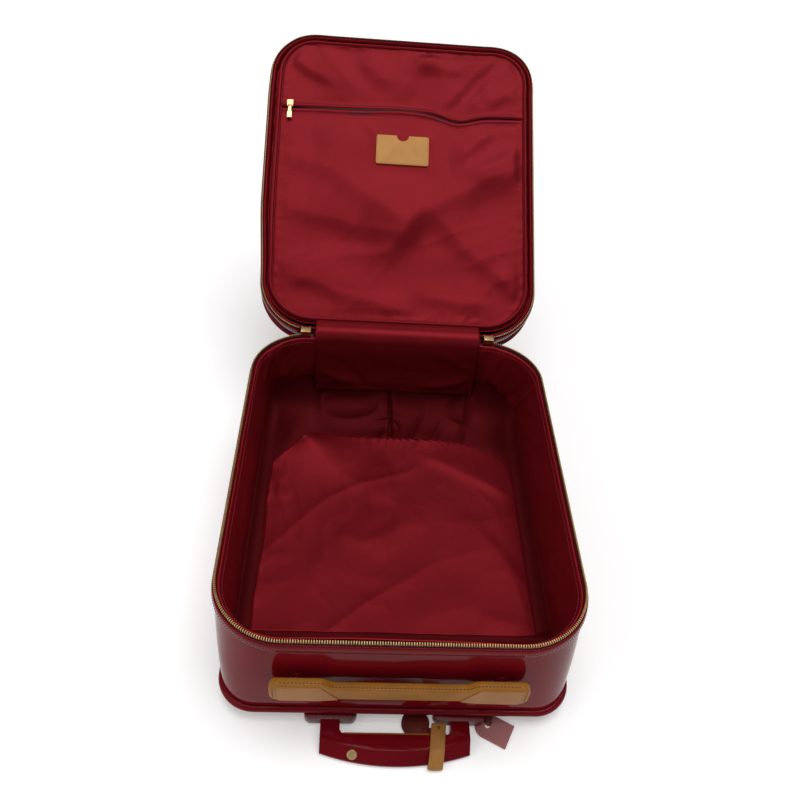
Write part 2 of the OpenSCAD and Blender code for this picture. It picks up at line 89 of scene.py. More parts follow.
def lean_out(x, y, z):
    """Moves points near the zip line to where the leaning walls stand at height z."""
    share = np.clip((STRAIGHT_Z - z) / (STRAIGHT_Z - WALL_LOW), 0, 1)
    low, high, side = NEAR_Y + CORNER_R, FAR_Y - CORNER_R, HALF_W - CORNER_R
    base_low, base_high = BASE_LOW.y + BASE_R, BASE_HIGH.y - BASE_R
    cx, cy = np.clip(x, -side, side), np.clip(y, low, high)
    nx, ny = x - cx, y - cy
    away = np.maximum(np.hypot(nx, ny), 1e-9)
    reach = (away + (BASE_R - CORNER_R) * share) / away
    base_x = cx * (BASE_HIGH.x - BASE_R) / side
    base_y = base_low + (cy - low) * (base_high - base_low) / (high - low)
    return cx + (base_x - cx) * share + nx * reach, cy + (base_y - cy) * share + ny * reach


# --- Camera, light and floor ---


def make_camera():
    """The camera stands over the near end and looks down into the body."""
    yaw, pitch, roll = 0.0868, 0.7653, 0.1023
    sensor, focal_share = 36, 0.97961
    forward = Vector((math.sin(yaw) * math.cos(pitch), math.cos(yaw) * math.cos(pitch), -math.sin(pitch)))
    level_right = Vector((math.cos(yaw), -math.sin(yaw), 0))
    level_up = level_right.cross(forward)
    right = math.cos(roll) * level_right + math.sin(roll) * level_up
    up = -math.sin(roll) * level_right + math.cos(roll) * level_up
    place = Vector((-55.6, -342.3, 745.1)) * MM + Vector((0, NEAR_Y, BASE_LOW.z))
    camera = bpy.data.objects.new("camera", bpy.data.cameras.new("camera"))
    turn = Matrix((right, up, -forward)).transposed().to_4x4()
    camera.matrix_world = Matrix.Translation(place) @ turn
    camera.data.sensor_width = sensor
    camera.data.lens = sensor * focal_share
    camera.data.clip_start = 0.01
    scene.collection.objects.link(camera)
    scene.camera = camera


def add_lamp(name, kind, energy, shines_from, place=(0, 0, 0)):
    lamp = bpy.data.lights.new(name, kind)
    lamp.energy = energy
    obj = bpy.data.objects.new(name, lamp)
    obj.location = place
    obj.rotation_euler = Vector(shines_from).to_track_quat("Z", "Y").to_euler()
    scene.collection.objects.link(obj)
    return lamp


def make_studio():
    """A white room: wide light from above, a soft box on the left, and a floor of white paper."""
    add_lamp("overhead", "SUN", 1.8, (0.12, 0.1, 1)).angle = math.radians(50)
    box_place, box_target = Vector((-1.5, -0.9, 1.3)), Vector((0, 0, 0.1))
    add_lamp("softbox_left", "AREA", 7, box_place - box_target, box_place).size = 1.2
    world = bpy.data.worlds.new("studio")
    scene.world = world
    world.use_nodes = True
    backdrop = world.node_tree.nodes["Background"]
    backdrop.inputs["Color"].default_value = (1, 1, 1, 1)
    backdrop.inputs["Strength"].default_value = 0.37
    bpy.ops.mesh.primitive_plane_add(size=12, location=(0, 0.3, 0))
    floor = bpy.context.object
    floor.name = "floor"
    paper = Finish("floor_paper")
    paper.set(Base_Color=(0.86, 0.86, 0.86, 1), Roughness=0.9, Emission_Color=(1, 1, 1, 1),
              Emission_Strength=0.24)
    floor.data.materials.append(paper.material)
    scene.view_settings.view_transform = "Standard"


# --- Materials ---


class Finish:
    """A material in the making. Values are numbers, colours or the outputs of other nodes."""

    def __init__(self, name):
        self.material = bpy.data.materials.new(name)
        self.material.use_nodes = True
        self.tree = self.material.node_tree
        self.shader = self.tree.nodes["Principled BSDF"]

    def feed(self, socket, value):
        if isinstance(value, bpy.types.NodeSocket):
            self.tree.links.new(value, socket)
        else:
            socket.default_value = value

    def set(self, **values):
        """Sets inputs of the shader by name, with _ for a space."""
        for name, value in values.items():
            self.feed(self.shader.inputs[name.replace("_", " ")], value)

    def node(self, kind, output, **values):
        """Adds a node and gives one of its outputs."""
        node = self.tree.nodes.new("ShaderNode" + kind)
        for name, value in values.items():
            self.feed(node.inputs[name.replace("_", " ")], value)
        return node.outputs[output]

    def noise(self, coords, scale, detail=3.0, roughness=0.5):
        return self.node("TexNoise", "Fac", Scale=scale, Detail=detail, Roughness=roughness, Vector=coords)

    def stretched(self, coords, scale):
        return self.node("Mapping", "Vector", Scale=scale, Vector=coords)

    def between(self, value, low, high):
        return self.node("MapRange", "Result", To_Min=low, To_Max=high, Value=value)

    def ramp(self, value, stops):
        colour = self.node("ValToRGB", "Color", Fac=value)
        elements = colour.node.color_ramp.elements
        while len(elements) < len(stops):
            elements.new(0.5)
        for element, (position, rgb) in zip(elements, stops):
            element.position, element.color = position, (*rgb, 1)
        return colour

    def bumps(self, *layers):
        """Adds bump layers, each (height value, depth in metres)."""
        chained = {}
        for height, depth in layers:
            chained["Normal"] = self.node("Bump", "Normal", Distance=depth, Height=height, **chained)
        self.set(**chained)


def patent_leather(name, dark, light, waves=0.0005):
    """Deep varnish over hide: a clear gloss with slow waves and a few specks."""
    f = Finish(name)
    at = f.node("TexCoord", "Object")
    f.set(Base_Color=f.ramp(f.noise(at, 14, 4), [(0.3, dark), (0.7, light)]))
    f.set(Roughness=f.between(f.noise(at, 55, 5, 0.65), 0.05, 0.16), IOR=1.43, Specular_IOR_Level=0.13)
    f.bumps((f.noise(at, 16, 2), waves), (f.noise(at, 900, 2), 0.000012))
    return f.material


def moulded_plastic(name, colour, roughness):
    """Plain plastic, rubber or thread with slight wear."""
    f = Finish(name)
    at = f.node("TexCoord", "Object")
    deep = tuple(c * 0.8 for c in colour)
    f.set(Base_Color=f.ramp(f.noise(at, 30, 3), [(0.35, deep), (0.65, colour)]))
    f.set(Roughness=f.between(f.noise(at, 120, 4), roughness, roughness + 0.18))
    f.bumps((f.noise(at, 1400, 2), 0.00002))
    return f.material


def satin(name, dark, light, roughness=0.4):
    """Lining satin: a fine twill with a soft, slightly directional shine."""
    f = Finish(name)
    uv, at = f.node("UVMap", "UV"), f.node("TexCoord", "Object")
    slub = f.noise(f.stretched(uv, (900, 60, 1)), 1, 3)
    patch = f.between(f.noise(at, 18, 3), 0.1, 0.55)
    tone = f.node("Math", "Value")
    tone.node.operation = "MULTIPLY_ADD"
    for socket, value in zip(tone.node.inputs, (slub, 0.35, patch)):
        f.feed(socket, value)
    f.set(Base_Color=f.ramp(tone, [(0.2, dark), (0.75, light)]), Roughness=roughness, Anisotropic=0.35,
          Metallic=0.45, Specular_IOR_Level=0.18, Specular_Tint=(1.0, 0.25, 0.25, 1))
    twill = f.node("TexWave", "Fac", Scale=1, Vector=f.stretched(uv, (700, 700, 1)))
    twill.node.bands_direction = "DIAGONAL"
    f.bumps((f.noise(at, 90, 3), 0.0002), (twill, 0.00003))
    return f.material


def hide(name, dark, mid, light):
    """Smooth vegetable-tanned leather with pores, cloudy tone and darker handling marks."""
    f = Finish(name)
    at = f.node("TexCoord", "Object")
    f.set(Base_Color=f.ramp(f.noise(at, 32, 5, 0.6), [(0.25, dark), (0.5, mid), (0.78, light)]))
    f.set(Roughness=f.between(f.noise(at, 70, 4), 0.34, 0.56), Specular_IOR_Level=0.2)
    pores = f.node("TexVoronoi", "Distance", Scale=1300, Vector=at)
    f.bumps((f.noise(at, 260, 4, 0.6), 0.00012), (pores, 0.00004))
    return f.material


def metal(name, colour, roughness):
    """Metal with fine scratches along one way."""
    f = Finish(name)
    at = f.node("TexCoord", "Object")
    deep = tuple(c * 0.72 for c in colour)
    f.set(Base_Color=f.ramp(f.noise(at, 160, 3), [(0.3, deep), (0.7, colour)]), Metallic=1.0)
    f.set(Roughness=f.between(f.noise(at, 400, 3), roughness, roughness + 0.15))
    f.bumps((f.noise(f.stretched(at, (2500, 60, 2500)), 1, 2), 0.00001))
    return f.material


def woven_tape(name, colour):
    """The cloth tape that zip teeth are sewn into."""
    f = Finish(name)
    weave = f.node("TexWave", "Fac", Scale=1, Vector=f.stretched(f.node("UVMap", "UV"), (500, 500, 1)))
    deep = tuple(c * 0.6 for c in colour)
    f.set(Base_Color=f.ramp(weave, [(0.2, deep), (0.8, colour)]), Roughness=0.75)
    f.bumps((weave, 0.0001))
    return f.material


def make_materials():
    """Every material, by its use."""
    return {
        "patent": patent_leather("patent_leather", (0.120, 0.0016, 0.005), (0.150, 0.0026, 0.007)),
        "grip_patent": patent_leather("grip_patent", (0.105, 0.0014, 0.004), (0.135, 0.0024, 0.0065),
                                      0.0003),
        # The name tag is glossy red patent; its pale mauve base colour is a painted reflection of the white
        # surroundings.
        "tag_patent_painted_reflection": patent_leather("tag_patent_painted_reflection", (0.30, 0.12, 0.115), (0.36, 0.155, 0.15), 0.0002),
        "plastic": moulded_plastic("red_plastic", (0.12, 0.001, 0.006), 0.2),
        "black_plastic": moulded_plastic("black_plastic", (0.02, 0.02, 0.022), 0.4),
        "satin": satin("lining_satin", (0.134, 0.0050, 0.0086), (0.172, 0.0080, 0.0126)),
        # A brighter copy of the lining satin for the body's inner walls: painted light, lifting the walls
        # as if they were lit more strongly.
        "satin_wall_painted_light": satin("lining_satin_wall", (0.215, 0.0085, 0.0140), (0.275, 0.0130, 0.0200)),
        # A darker copy of the lining satin for the floor flap: painted shade.
        "satin_flap_painted_shade": satin("lining_satin_flap", (0.112, 0.0036, 0.0068), (0.144, 0.0058, 0.0100)),
        # A much darker copy of the lining satin for the floor and its cove: painted shade, standing in for
        # the shadow at the far end of the body.
        "satin_floor_painted_shade": satin("lining_satin_floor", (0.052, 0.0016, 0.0030), (0.072, 0.0026, 0.0044), 0.5),
        "satin_deep": satin("lining_satin_deep", (0.13, 0.003, 0.006), (0.17, 0.005, 0.009), 0.45),
        "thread_red": moulded_plastic("thread_red", (0.12, 0.004, 0.01), 0.6),
        "thread_satin": moulded_plastic("thread_satin", (0.30, 0.02, 0.035), 0.6),
        "thread_tan": moulded_plastic("thread_tan", (0.34, 0.19, 0.055), 0.6),
        "thread_brown": moulded_plastic("thread_brown", (0.125, 0.050, 0.010), 0.8),
        "hide": hide("natural_hide", (0.21, 0.075, 0.004), (0.265, 0.10, 0.007), (0.31, 0.125, 0.010)),
        "hide_pad": hide("pad_hide", (0.245, 0.096, 0.019), (0.30, 0.12, 0.026), (0.34, 0.142, 0.033)),
        "hide_strap": hide("strap_hide", (0.24, 0.095, 0.018), (0.31, 0.135, 0.031), (0.38, 0.18, 0.05)),
        "hide_pale": hide("pale_hide", (0.42, 0.185, 0.041), (0.49, 0.225, 0.055), (0.55, 0.265, 0.068)),
        "hide_brown": hide("tag_hide", (0.075, 0.007, 0.004), (0.11, 0.011, 0.006), (0.145, 0.016, 0.009)),
        "brass": metal("brass", (0.78, 0.55, 0.26), 0.22),
        "teeth": metal("zip_brass", (0.62, 0.40, 0.16), 0.3),
        "tube": metal("anodised_tube", (0.72, 0.72, 0.74), 0.25),
        "steel": metal("brushed_steel", (0.58, 0.58, 0.6), 0.3),
        "tape": woven_tape("zip_tape", (0.07, 0.004, 0.008)),
        "tyre": moulded_plastic("tyre_rubber", (0.018, 0.018, 0.018), 0.55),
    }


# --- Mesh helpers ---


def mesh_object(name, verts, faces, material, uvs=None, smooth=True):
    mesh = bpy.data.meshes.new(name)
    mesh.from_pydata([tuple(v) for v in verts], [], [tuple(f) for f in faces])
    mesh.update()
    if uvs is not None:
        layer = mesh.uv_layers.new(name="UVMap")
        layer.data.foreach_set("uv", np.asarray(uvs, np.float32).ravel())
    bm = bmesh.new()
    bm.from_mesh(mesh)
    bmesh.ops.recalc_face_normals(bm, faces=bm.faces[:])
    bm.to_mesh(mesh)
    bm.free()
    mesh.polygons.foreach_set("use_smooth", [smooth] * len(mesh.polygons))
    obj = bpy.data.objects.new(name, mesh)
    obj.data.materials.append(material)
    scene.collection.objects.link(obj)
    return obj


def grid_object(name, points, material, across, along, closed_across=False, closed_along=False):
    """A mesh over a grid of points [i, j, xyz]; across and along give each row's and column's UV."""
    rows, cols = points.shape[:2]
    verts = points.reshape(-1, 3)
    faces, uvs = [], []
    across = np.append(across, 2 * across[-1] - across[-2])
    along = np.append(along, 2 * along[-1] - along[-2])
    for i in range(rows if closed_across else rows - 1):
        i2 = (i + 1) % rows
        for j in range(cols if closed_along else cols - 1):
            j2 = (j + 1) % cols
            faces.append((i * cols + j, i2 * cols + j, i2 * cols + j2, i * cols + j2))
            uvs += [(across[i], along[j]), (across[i + 1], along[j]),
                    (across[i + 1], along[j + 1]), (across[i], along[j + 1])]
    return mesh_object(name, verts, faces, material, uvs)


def apply_modifiers(obj):
    graph = bpy.context.evaluated_depsgraph_get()
    mesh = bpy.data.meshes.new_from_object(obj.evaluated_get(graph))
    obj.modifiers.clear()
    obj.data = mesh


def thicken(obj, thickness, offset=-1.0):
    solid = obj.modifiers.new("thickness", "SOLIDIFY")
    solid.thickness = thickness
    solid.offset = offset
    apply_modifiers(obj)


def round_edges(obj, width, segments=3):
    weld = obj.modifiers.new("weld", "WELD")
    weld.merge_threshold = 0.00001
    bevel = obj.modifiers.new("round", "BEVEL")
    bevel.width = width
    bevel.segments = segments
    bevel.limit_method = "ANGLE"
    bevel.angle_limit = math.radians(35)
    bevel.harden_normals = True


def eased(value):
    """A smooth step from 0 to 1."""
    value = np.clip(value, 0, 1)
    return value * value * (3 - 2 * value)


def bell(value, middle, width):
    return np.exp(-((value - middle) / width) ** 2)


def smooth_noise(x, y, seed):
    """Value noise from -1 to 1 with a feature size of one unit."""
    xi, yi = np.floor(x).astype(np.int64), np.floor(y).astype(np.int64)
    fx, fy = x - xi, y - yi
    fx, fy = fx * fx * fx * (fx * (fx * 6 - 15) + 10), fy * fy * fy * (fy * (fy * 6 - 15) + 10)

    def lattice(i, j):
        h = (i * 374761393 + j * 668265263 + seed * 1442695041) & 0xFFFFFFFF
        h = ((h ^ (h >> 13)) * 1274126177) & 0xFFFFFFFF
        h = h ^ (h >> 16)
        return (h & 0xFFFF) / 32767.5 - 1

    top = lattice(xi, yi) * (1 - fx) + lattice(xi + 1, yi) * fx
    low = lattice(xi, yi + 1) * (1 - fx) + lattice(xi + 1, yi + 1) * fx
    return top * (1 - fy) + low * fy


def wrinkles(x, y, angle, size, stretch, seed):
    """Soft ridges from 0 to 1 that run along an angle, size apart and stretch times as long."""
    c, s = math.cos(angle), math.sin(angle)
    u, v = (x * c + y * s) / (size * stretch), (-x * s + y * c) / size
    u = u + 0.35 * smooth_noise(x / size * 0.4, y / size * 0.4, seed + 5)
    v = v + 0.6 * smooth_noise(x / size * 0.3, y / size * 0.3, seed + 9)
    return (1 - np.abs(smooth_noise(u, v, seed))) ** 2


# --- Rounded outlines that pieces are swept round ---


class Outline:
    """A rectangle with rounded corners in plan, walked from the middle of its hinge side."""

    def __init__(self, half_w, low_y, high_y, radius):
        self.half_w, self.low_y, self.high_y, self.radius = half_w, low_y, high_y, radius
        self.side = half_w - radius
        self.straight = high_y - low_y - 2 * radius
        self.quarter = radius * math.pi / 2
        self.length = 4 * self.side + 2 * self.straight + 4 * self.quarter

    def at(self, s):
        """Point and outward direction at distance s round the outline."""
        r, side, low, high = self.radius, self.side, self.low_y, self.high_y
        s = s % self.length
        stretches = [
            (side, (0, high), (1, 0)),
            (self.quarter, (side, high - r), math.pi / 2),
            (self.straight, (self.half_w, high - r), (0, -1)),
            (self.quarter, (side, low + r), 0.0),
            (2 * side, (side, low), (-1, 0)),
            (self.quarter, (-side, low + r), -math.pi / 2),
            (self.straight, (-self.half_w, low + r), (0, 1)),
            (self.quarter, (-side, high - r), -math.pi),
            (side, (-side, high), (1, 0)),
        ]
        for length, origin, way in stretches:
            if s <= length + 1e-9:
                if isinstance(way, tuple):
                    return (origin[0] + way[0] * s, origin[1] + way[1] * s), (-way[1], way[0])
                c, sn = math.cos(way - s / r), math.sin(way - s / r)
                return (origin[0] + r * c, origin[1] + r * sn), (c, sn)
            s -= length
        return (0, high), (0, 1)

    def samples(self, step, start=0.0, end=None):
        end = self.length if end is None else end
        closed = end - start > self.length - 1e-6
        s = np.linspace(start, end, int(round((end - start) / step)), endpoint=not closed)
        pairs = [self.at(v) for v in s]
        return s, np.array([p for p, n in pairs]), np.array([n for p, n in pairs])

    def half_width(self, y):
        """Half of the width at y."""
        r = self.radius
        inset = np.clip(np.minimum(self.high_y - y, y - self.low_y), 0, r)
        return self.side + np.sqrt(np.maximum(r * r - (r - inset) ** 2, 0))

    def rows(self, step):
        """Heights of rows across the outline, closer together where its corners turn."""
        r = self.radius
        turn = r * (1 - np.cos(np.linspace(0, math.pi / 2, int(r / step) + 4)))
        middle = np.linspace(self.low_y + r, self.high_y - r, int(self.straight / step) + 1)
        return np.concatenate([self.low_y + turn[:-1], middle, (self.high_y - turn)[::-1][1:]])


def sweep(name, outline, profile, material, step=4 * MM, ends=None, closed_profile=False, push=None,
          **settled):
    """Sweeps a profile of (growth outwards, height) round an outline. push moves points outwards."""
    start, end = ends or (0.0, outline.length)
    s, points, normals = outline.samples(step, start, end)
    profile = np.array(profile)
    run = np.concatenate([[0], np.cumsum(np.hypot(*np.diff(profile, axis=0).T))])
    grow = np.broadcast_to(profile[:, 0], (len(s), len(profile))).copy()
    z = np.broadcast_to(profile[:, 1], grow.shape).copy()
    if push is not None:
        grow = grow + push(s[:, None] + 0 * grow, z, points[:, None, 0] + 0 * grow,
                           points[:, None, 1] + 0 * grow)
    xyz = np.empty((*grow.shape, 3))
    xyz[..., 0], xyz[..., 1] = lean_out(points[:, 0, None] + normals[:, 0, None] * grow,
                                        points[:, 1, None] + normals[:, 1, None] * grow, z)
    xyz[..., 2] = z
    obj = grid_object(name, xyz, material, s, run, closed_across=ends is None,
                      closed_along=closed_profile)
    if ends is not None and closed_profile:
        cap_ends(obj)
    return settle(obj, **settled)


def cap_ends(obj):
    """Closes the two open ends of a swept tube."""
    bm = bmesh.new()
    bm.from_mesh(obj.data)
    bmesh.ops.holes_fill(bm, edges=[e for e in bm.edges if e.is_boundary], sides=0)
    bmesh.ops.recalc_face_normals(bm, faces=bm.faces[:])
    bm.to_mesh(obj.data)
    bm.free()


def bow_lid(obj):
    """The soft lid bows outwards along its left edge, and the corners of its free end are squarer."""
    most_bow = most_square = 6.5 * MM
    co = np.empty(len(obj.data.vertices) * 3, np.float32)
    obj.data.vertices.foreach_get("co", co)
    co = co.reshape(-1, 3)
    t = HINGE.y - co[:, 1]
    edge = eased((-co[:, 0] - 150 * MM) / (24 * MM))
    bow = eased((t - 60 * MM) / (130 * MM)) * (1 - 0.65 * eased((t - 330 * MM) / (90 * MM)))
    nx = np.maximum(np.abs(co[:, 0]) - (HALF_W - CORNER_R), 0)
    ny = np.maximum(NEAR_Y + CORNER_R - co[:, 1], 0)
    away = np.maximum(np.hypot(nx, ny), 1e-9)
    square = most_square * np.clip(2 * nx * ny / away ** 2, 0, 1) ** 1.5 * eased(away / CORNER_R)
    co[:, 1] -= square * ny / away
    co[:, 0] += square * nx / away * np.sign(co[:, 0]) - most_bow * edge * bow
    obj.data.vertices.foreach_set("co", co.ravel())
    obj.data.update()


def settle(obj, body=None, slot=None, replaces=()):
    """Hangs a piece on the body it rides on and hides the CAD parts that it stands in for. Pieces of the
    lid are turned open.
    """
    if body == "lid":
        bow_lid(obj)
        obj.data.transform(OPEN_LID)
    if body:
        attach(obj, body)
    if replaces:
        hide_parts(*replaces)
    return obj


def ring_profile(centre_grow, centre_z, radius, count):
    angles = np.linspace(0, 2 * math.pi, count, endpoint=False)
    return [(centre_grow + radius * math.cos(a), centre_z + radius * math.sin(a)) for a in angles]


def stitch_row(name, places, ups, material, pitch=3.0 * MM, length=2.2 * MM, radius=0.32 * MM):
    """Stitches along a line of places: short rounded threads that dip at both ends."""
    places, ups = np.array(places, float), np.array(ups, float)
    run = np.concatenate([[0], np.cumsum(np.linalg.norm(np.diff(places, axis=0), axis=1))])
    count = max(2, int(run[-1] / pitch))
    rings = [(-0.5, 0.35, -0.6), (-0.3, 0.95, 0.25), (0.3, 0.95, 0.25), (0.5, 0.35, -0.6)]
    sides = 5

    def along_row(distance, table):
        return np.array([np.interp(distance, run, table[:, i]) for i in range(3)])

    def unit(vector):
        return vector / (np.linalg.norm(vector) + 1e-12)

    verts, faces = [], []
    for k in range(count):
        a = (k + 0.5) * run[-1] / count
        centre, up = along_row(a, places), along_row(a, ups)
        along = unit(along_row(a + length / 2, places) - along_row(a - length / 2, places))
        up = unit(up - along * (up @ along))
        side = np.cross(along, up)
        base = len(verts)
        for t, swell, lift in rings:
            for q in range(sides):
                angle = 2 * math.pi * q / sides
                rise, spread = radius * (lift + swell * math.cos(angle)), radius * swell * math.sin(angle)
                verts.append(centre + along * length * t + up * rise + side * spread)
        for r in range(len(rings) - 1):
            low, high = base + r * sides, base + (r + 1) * sides
            for q in range(sides):
                q2 = (q + 1) % sides
                faces.append((low + q, low + q2, high + q2, high + q))
        faces.append(tuple(base + q for q in reversed(range(sides))))
        faces.append(tuple(high + q for q in range(sides)))
    return mesh_object(name, verts, faces, material)


def outline_stitches(name, outline, grow, z, material, up, pitch=3.0 * MM, ends=None, **settled):
    """A row of stitches round an outline. up is (outwards, upwards), the way the seam faces."""
    _, points, normals = outline.samples(3 * MM, *(ends or (0.0, outline.length)))
    places = [(p[0] + n[0] * grow, p[1] + n[1] * grow, z) for p, n in zip(points, normals)]
    ups = [(n[0] * up[0], n[1] * up[0], up[1]) for n in normals]
    return settle(stitch_row(name, places, ups, material, pitch), **settled)


# --- Outlines and places of this case ---

# Places on the lid are given as t, the distance from the hinge along the lid.
SLIT_T = 315 * MM
WELT_NEAR_T, WELT_FAR_T = 20 * MM, 410 * MM
CARD_X, CARD_T = -1 * MM, 258 * MM
CARD_HALF_W, CARD_HALF_L = 35, 21  # millimetres

ZIP_LINE = Outline(HALF_W, NEAR_Y, FAR_Y, CORNER_R)
WELT_LINE = Outline(163 * MM, HINGE.y - WELT_FAR_T, HINGE.y - WELT_NEAR_T, 54 * MM)
FLOOR_GAP = 4.6 * MM
FLOOR_LINE = Outline(BASE_HIGH.x - FLOOR_GAP, BASE_LOW.y + FLOOR_GAP, BASE_HIGH.y - FLOOR_GAP,
                     BASE_R - FLOOR_GAP)
ZIP_ENDS = (122 * MM, ZIP_LINE.length - 122 * MM)
GUSSET_HALF = 103 * MM


def cut_wheel_rooms(obj):
    """Cuts the room of both wheel housings out of a closed mesh."""
    gap = 0.3 * MM
    for side in ("left", "right"):
        low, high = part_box("wheel_housing_" + side)
        low, high = low - Vector((gap, gap, 1)), high + Vector((gap, 20 * MM, gap))
        bpy.ops.mesh.primitive_cube_add(size=1, location=(low + high) / 2)
        tool = bpy.context.object
        tool.scale = high - low
        bpy.context.view_layer.update()
        cut = obj.modifiers.new("cut", "BOOLEAN")
        cut.operation = "DIFFERENCE"
        cut.object = tool
        cut.solver = "EXACT"
        apply_modifiers(obj)
        bpy.data.objects.remove(tool)


# --- Body shell ---


def above_floor(pairs):
    """A profile given as (growth, height above the floor) in millimetres."""
    return [(g * MM, z * MM) for g, z in pairs]


def above_rim(pairs):
    """A profile given as (growth, distance behind the lid's rim) in millimetres."""
    return [(g * MM, RIM_Z + d * MM) for g, d in pairs]


def make_body_shell(m):
    """The padded patent wall with its base roll, binding, zip tape and teeth."""

    def padding(s, z, x, y):
        share = np.clip((z - 18 * MM) / (108 * MM), 0, 1)
        swell = 1.3 * MM * np.sin(math.pi * share)
        waves = 0.55 * MM * smooth_noise(s / 0.052, z / 0.05, 11)
        ripple = 0.22 * MM * smooth_noise(s / 0.021, z / 0.034, 12)
        outer = np.isin(np.arange(z.shape[1]), np.arange(4, 17))[None, :]
        return np.where(outer, swell + (waves + ripple) * np.sin(math.pi * share) ** 0.6, 0)

    heights = np.linspace(26, 122, 13)
    profile = [(-4.0, 17.5), (-1.8, 17.5), (-1.2, 20), (-0.4, 22.5), *((0.3, z) for z in heights),
               (0.2, 127), (-0.6, 128), (-3.2, 128), (-3.6, 70)]
    wall = sweep("body_wall", ZIP_LINE, above_floor(profile), m["patent"], closed_profile=True,
                 push=padding)
    cut_wheel_rooms(wall)
    settle(wall, body="case", slot="patent", replaces=["wall_band"])

    piping = sweep("base_roll", ZIP_LINE, ring_profile(0.2 * MM, 18 * MM, 3.8 * MM, 14), m["patent"],
                   5 * MM, closed_profile=True)
    cut_wheel_rooms(piping)
    settle(piping, body="case", slot="patent", replaces=["base_piping"])

    edge = [(-0.5, 118.5), (0.9, 118.4), (1.9, 118.9), (2.3, 120), (2.1, 124), (1.7, 126.6), (1.1, 127.9),
            (0.2, 128.3), (-0.6, 128.2)]
    sweep("rim_edge_band", ZIP_LINE, above_floor(edge), m["patent"], closed_profile=True, body="case",
          slot="patent", replaces=["rim_binding"])
    outline_stitches("rim_stitches", ZIP_LINE, 2.25 * MM, 121.3 * MM, m["thread_red"], (1, 0.05),
                     body="case")

    tape = [(-0.9, 126), (-0.8, 130), (-1.0, 132.6), (-2.0, 132.6), (-2.2, 130), (-2.3, 126)]
    sweep("body_zip_tape", ZIP_LINE, above_floor(tape), m["tape"],
          ends=ZIP_ENDS, closed_profile=True, body="case")
    zip_teeth("body_zip_teeth", RIM_Z - 2.9 * MM, RIM_Z - 0.2 * MM, -1.4 * MM, 1.15, m["teeth"],
              body="case", slot="brass", replaces=["body_zip"])


def zip_teeth(name, z_root, z_tip, centre, width, material, **settled):
    """A row of metal teeth along the open zip, from their roots in the tape to their tips."""
    pitch = 2.3 * MM
    rings = [(z_root, 0.38, 0.7 * width), (z_root, 0.44, width), ((z_root + z_tip) / 2, 0.44, 1.08 * width),
             (z_tip, 0.36, 0.8 * width), (z_tip, 0.16, 0.4 * width)]
    verts, faces = [], []
    for k in range(int((ZIP_ENDS[1] - ZIP_ENDS[0]) / pitch)):
        (px, py), (nx, ny) = ZIP_LINE.at(ZIP_ENDS[0] + (k + 0.5) * pitch)
        base = len(verts)
        for z, along, out in rings:
            for a, b in ((-1, -1), (1, -1), (1, 1), (-1, 1)):
                g, t = centre + b * out * MM, a * along * MM
                verts.append((px + nx * g - ny * t, py + ny * g + nx * t, z))
        for low in range(base, base + 4 * (len(rings) - 1), 4):
            faces += [(low + q, low + (q + 1) % 4, low + 4 + (q + 1) % 4, low + 4 + q) for q in range(4)]
        faces.append((base, base + 3, base + 2, base + 1))
        faces.append((low + 4, low + 5, low + 6, low + 7))
    return settle(mesh_object(name, verts, faces, material, smooth=False), **settled)


# --- Lining of the body ---


def make_wall_lining(m):
    """Satin down the inside of the wall, slack and pleated at the far end."""
    low_y = NEAR_Y + CORNER_R

    def slack(s, z, x, y):
        up = np.clip((z - FLOOR_Z) / (RIM_Z - FLOOR_Z), 0, 1)
        held = np.sin(math.pi * np.clip(up, 0, 1)) ** 0.7
        near = np.clip((low_y - y) / CORNER_R, 0, 1)
        far = np.clip((y - (FAR_Y - 1.3 * CORNER_R)) / CORNER_R, 0, 1)
        side = 1 - np.clip(near + far, 0, 1)
        roll = 6.5 * MM * near * bell(x, -30 * MM, 95 * MM) * bell(z, 121 * MM, 9 * MM)
        belly = 3.0 * MM * side * held * (0.6 + 0.4 * smooth_noise(y / 0.11, z * 0, 21))
        drape = 2.2 * MM * held * smooth_noise(s / 0.06, z / 0.14, 22)
        open_wall = 0.15 + 0.85 * eased((np.abs(x) - 88 * MM) / (26 * MM))
        pleats = 6.0 * MM * far * held * open_wall * wrinkles(s, z * 1.2, 1.25, 0.028, 2.8, 23)
        crumple = 1.1 * MM * held * wrinkles(s, z, 0.9, 0.018, 3.0, 24)
        return -(roll + belly + drape * 0.6 + pleats + crumple + 0.6 * MM)

    profile = [(-WALL_T / MM - 0.8, z) for z in (*np.linspace(19, 112, 34), *np.linspace(115, 127, 7))]
    profile += [(-4.6, 128.6), (-3.9, 129.4), (-3.0, 129.2), (-2.4, 128.2)]
    # The wall satin is the brighter copy of the lining satin, so light is painted onto the inner walls.
    lining = sweep("wall_satin", ZIP_LINE, above_floor(profile), m["satin_wall_painted_light"], 2.6 * MM, push=slack)
    thicken(lining, 0.8 * MM)
    cut_wheel_rooms(lining)
    settle(lining, body="case", slot="satin", replaces=["wall_lining"])
    outline_stitches("lining_top_stitches", ZIP_LINE, -7.4 * MM, 124.5 * MM, m["thread_satin"], (-1, 0.4),
                     pitch=3.4 * MM, body="case")


def wheel_bump(x, y):
    """The lining falls in a steep curve from the far wall over the two wheel housings."""
    housing_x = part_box("wheel_housing_right")[0].x
    fall = np.exp(-(FLOOR_LINE.high_y - y) / (20 * MM))
    return 62 * MM * fall * eased((np.abs(x) - (housing_x - 34 * MM)) / (32 * MM))


def cove(y):
    """The lining sweeps up from the floor to the far wall in a hollow curve."""
    reach = 62 * MM
    run = np.clip((y - (FLOOR_LINE.high_y - reach)) / reach, 0, 0.99)
    return 44 * MM * (1 - np.sqrt(1 - run * run))


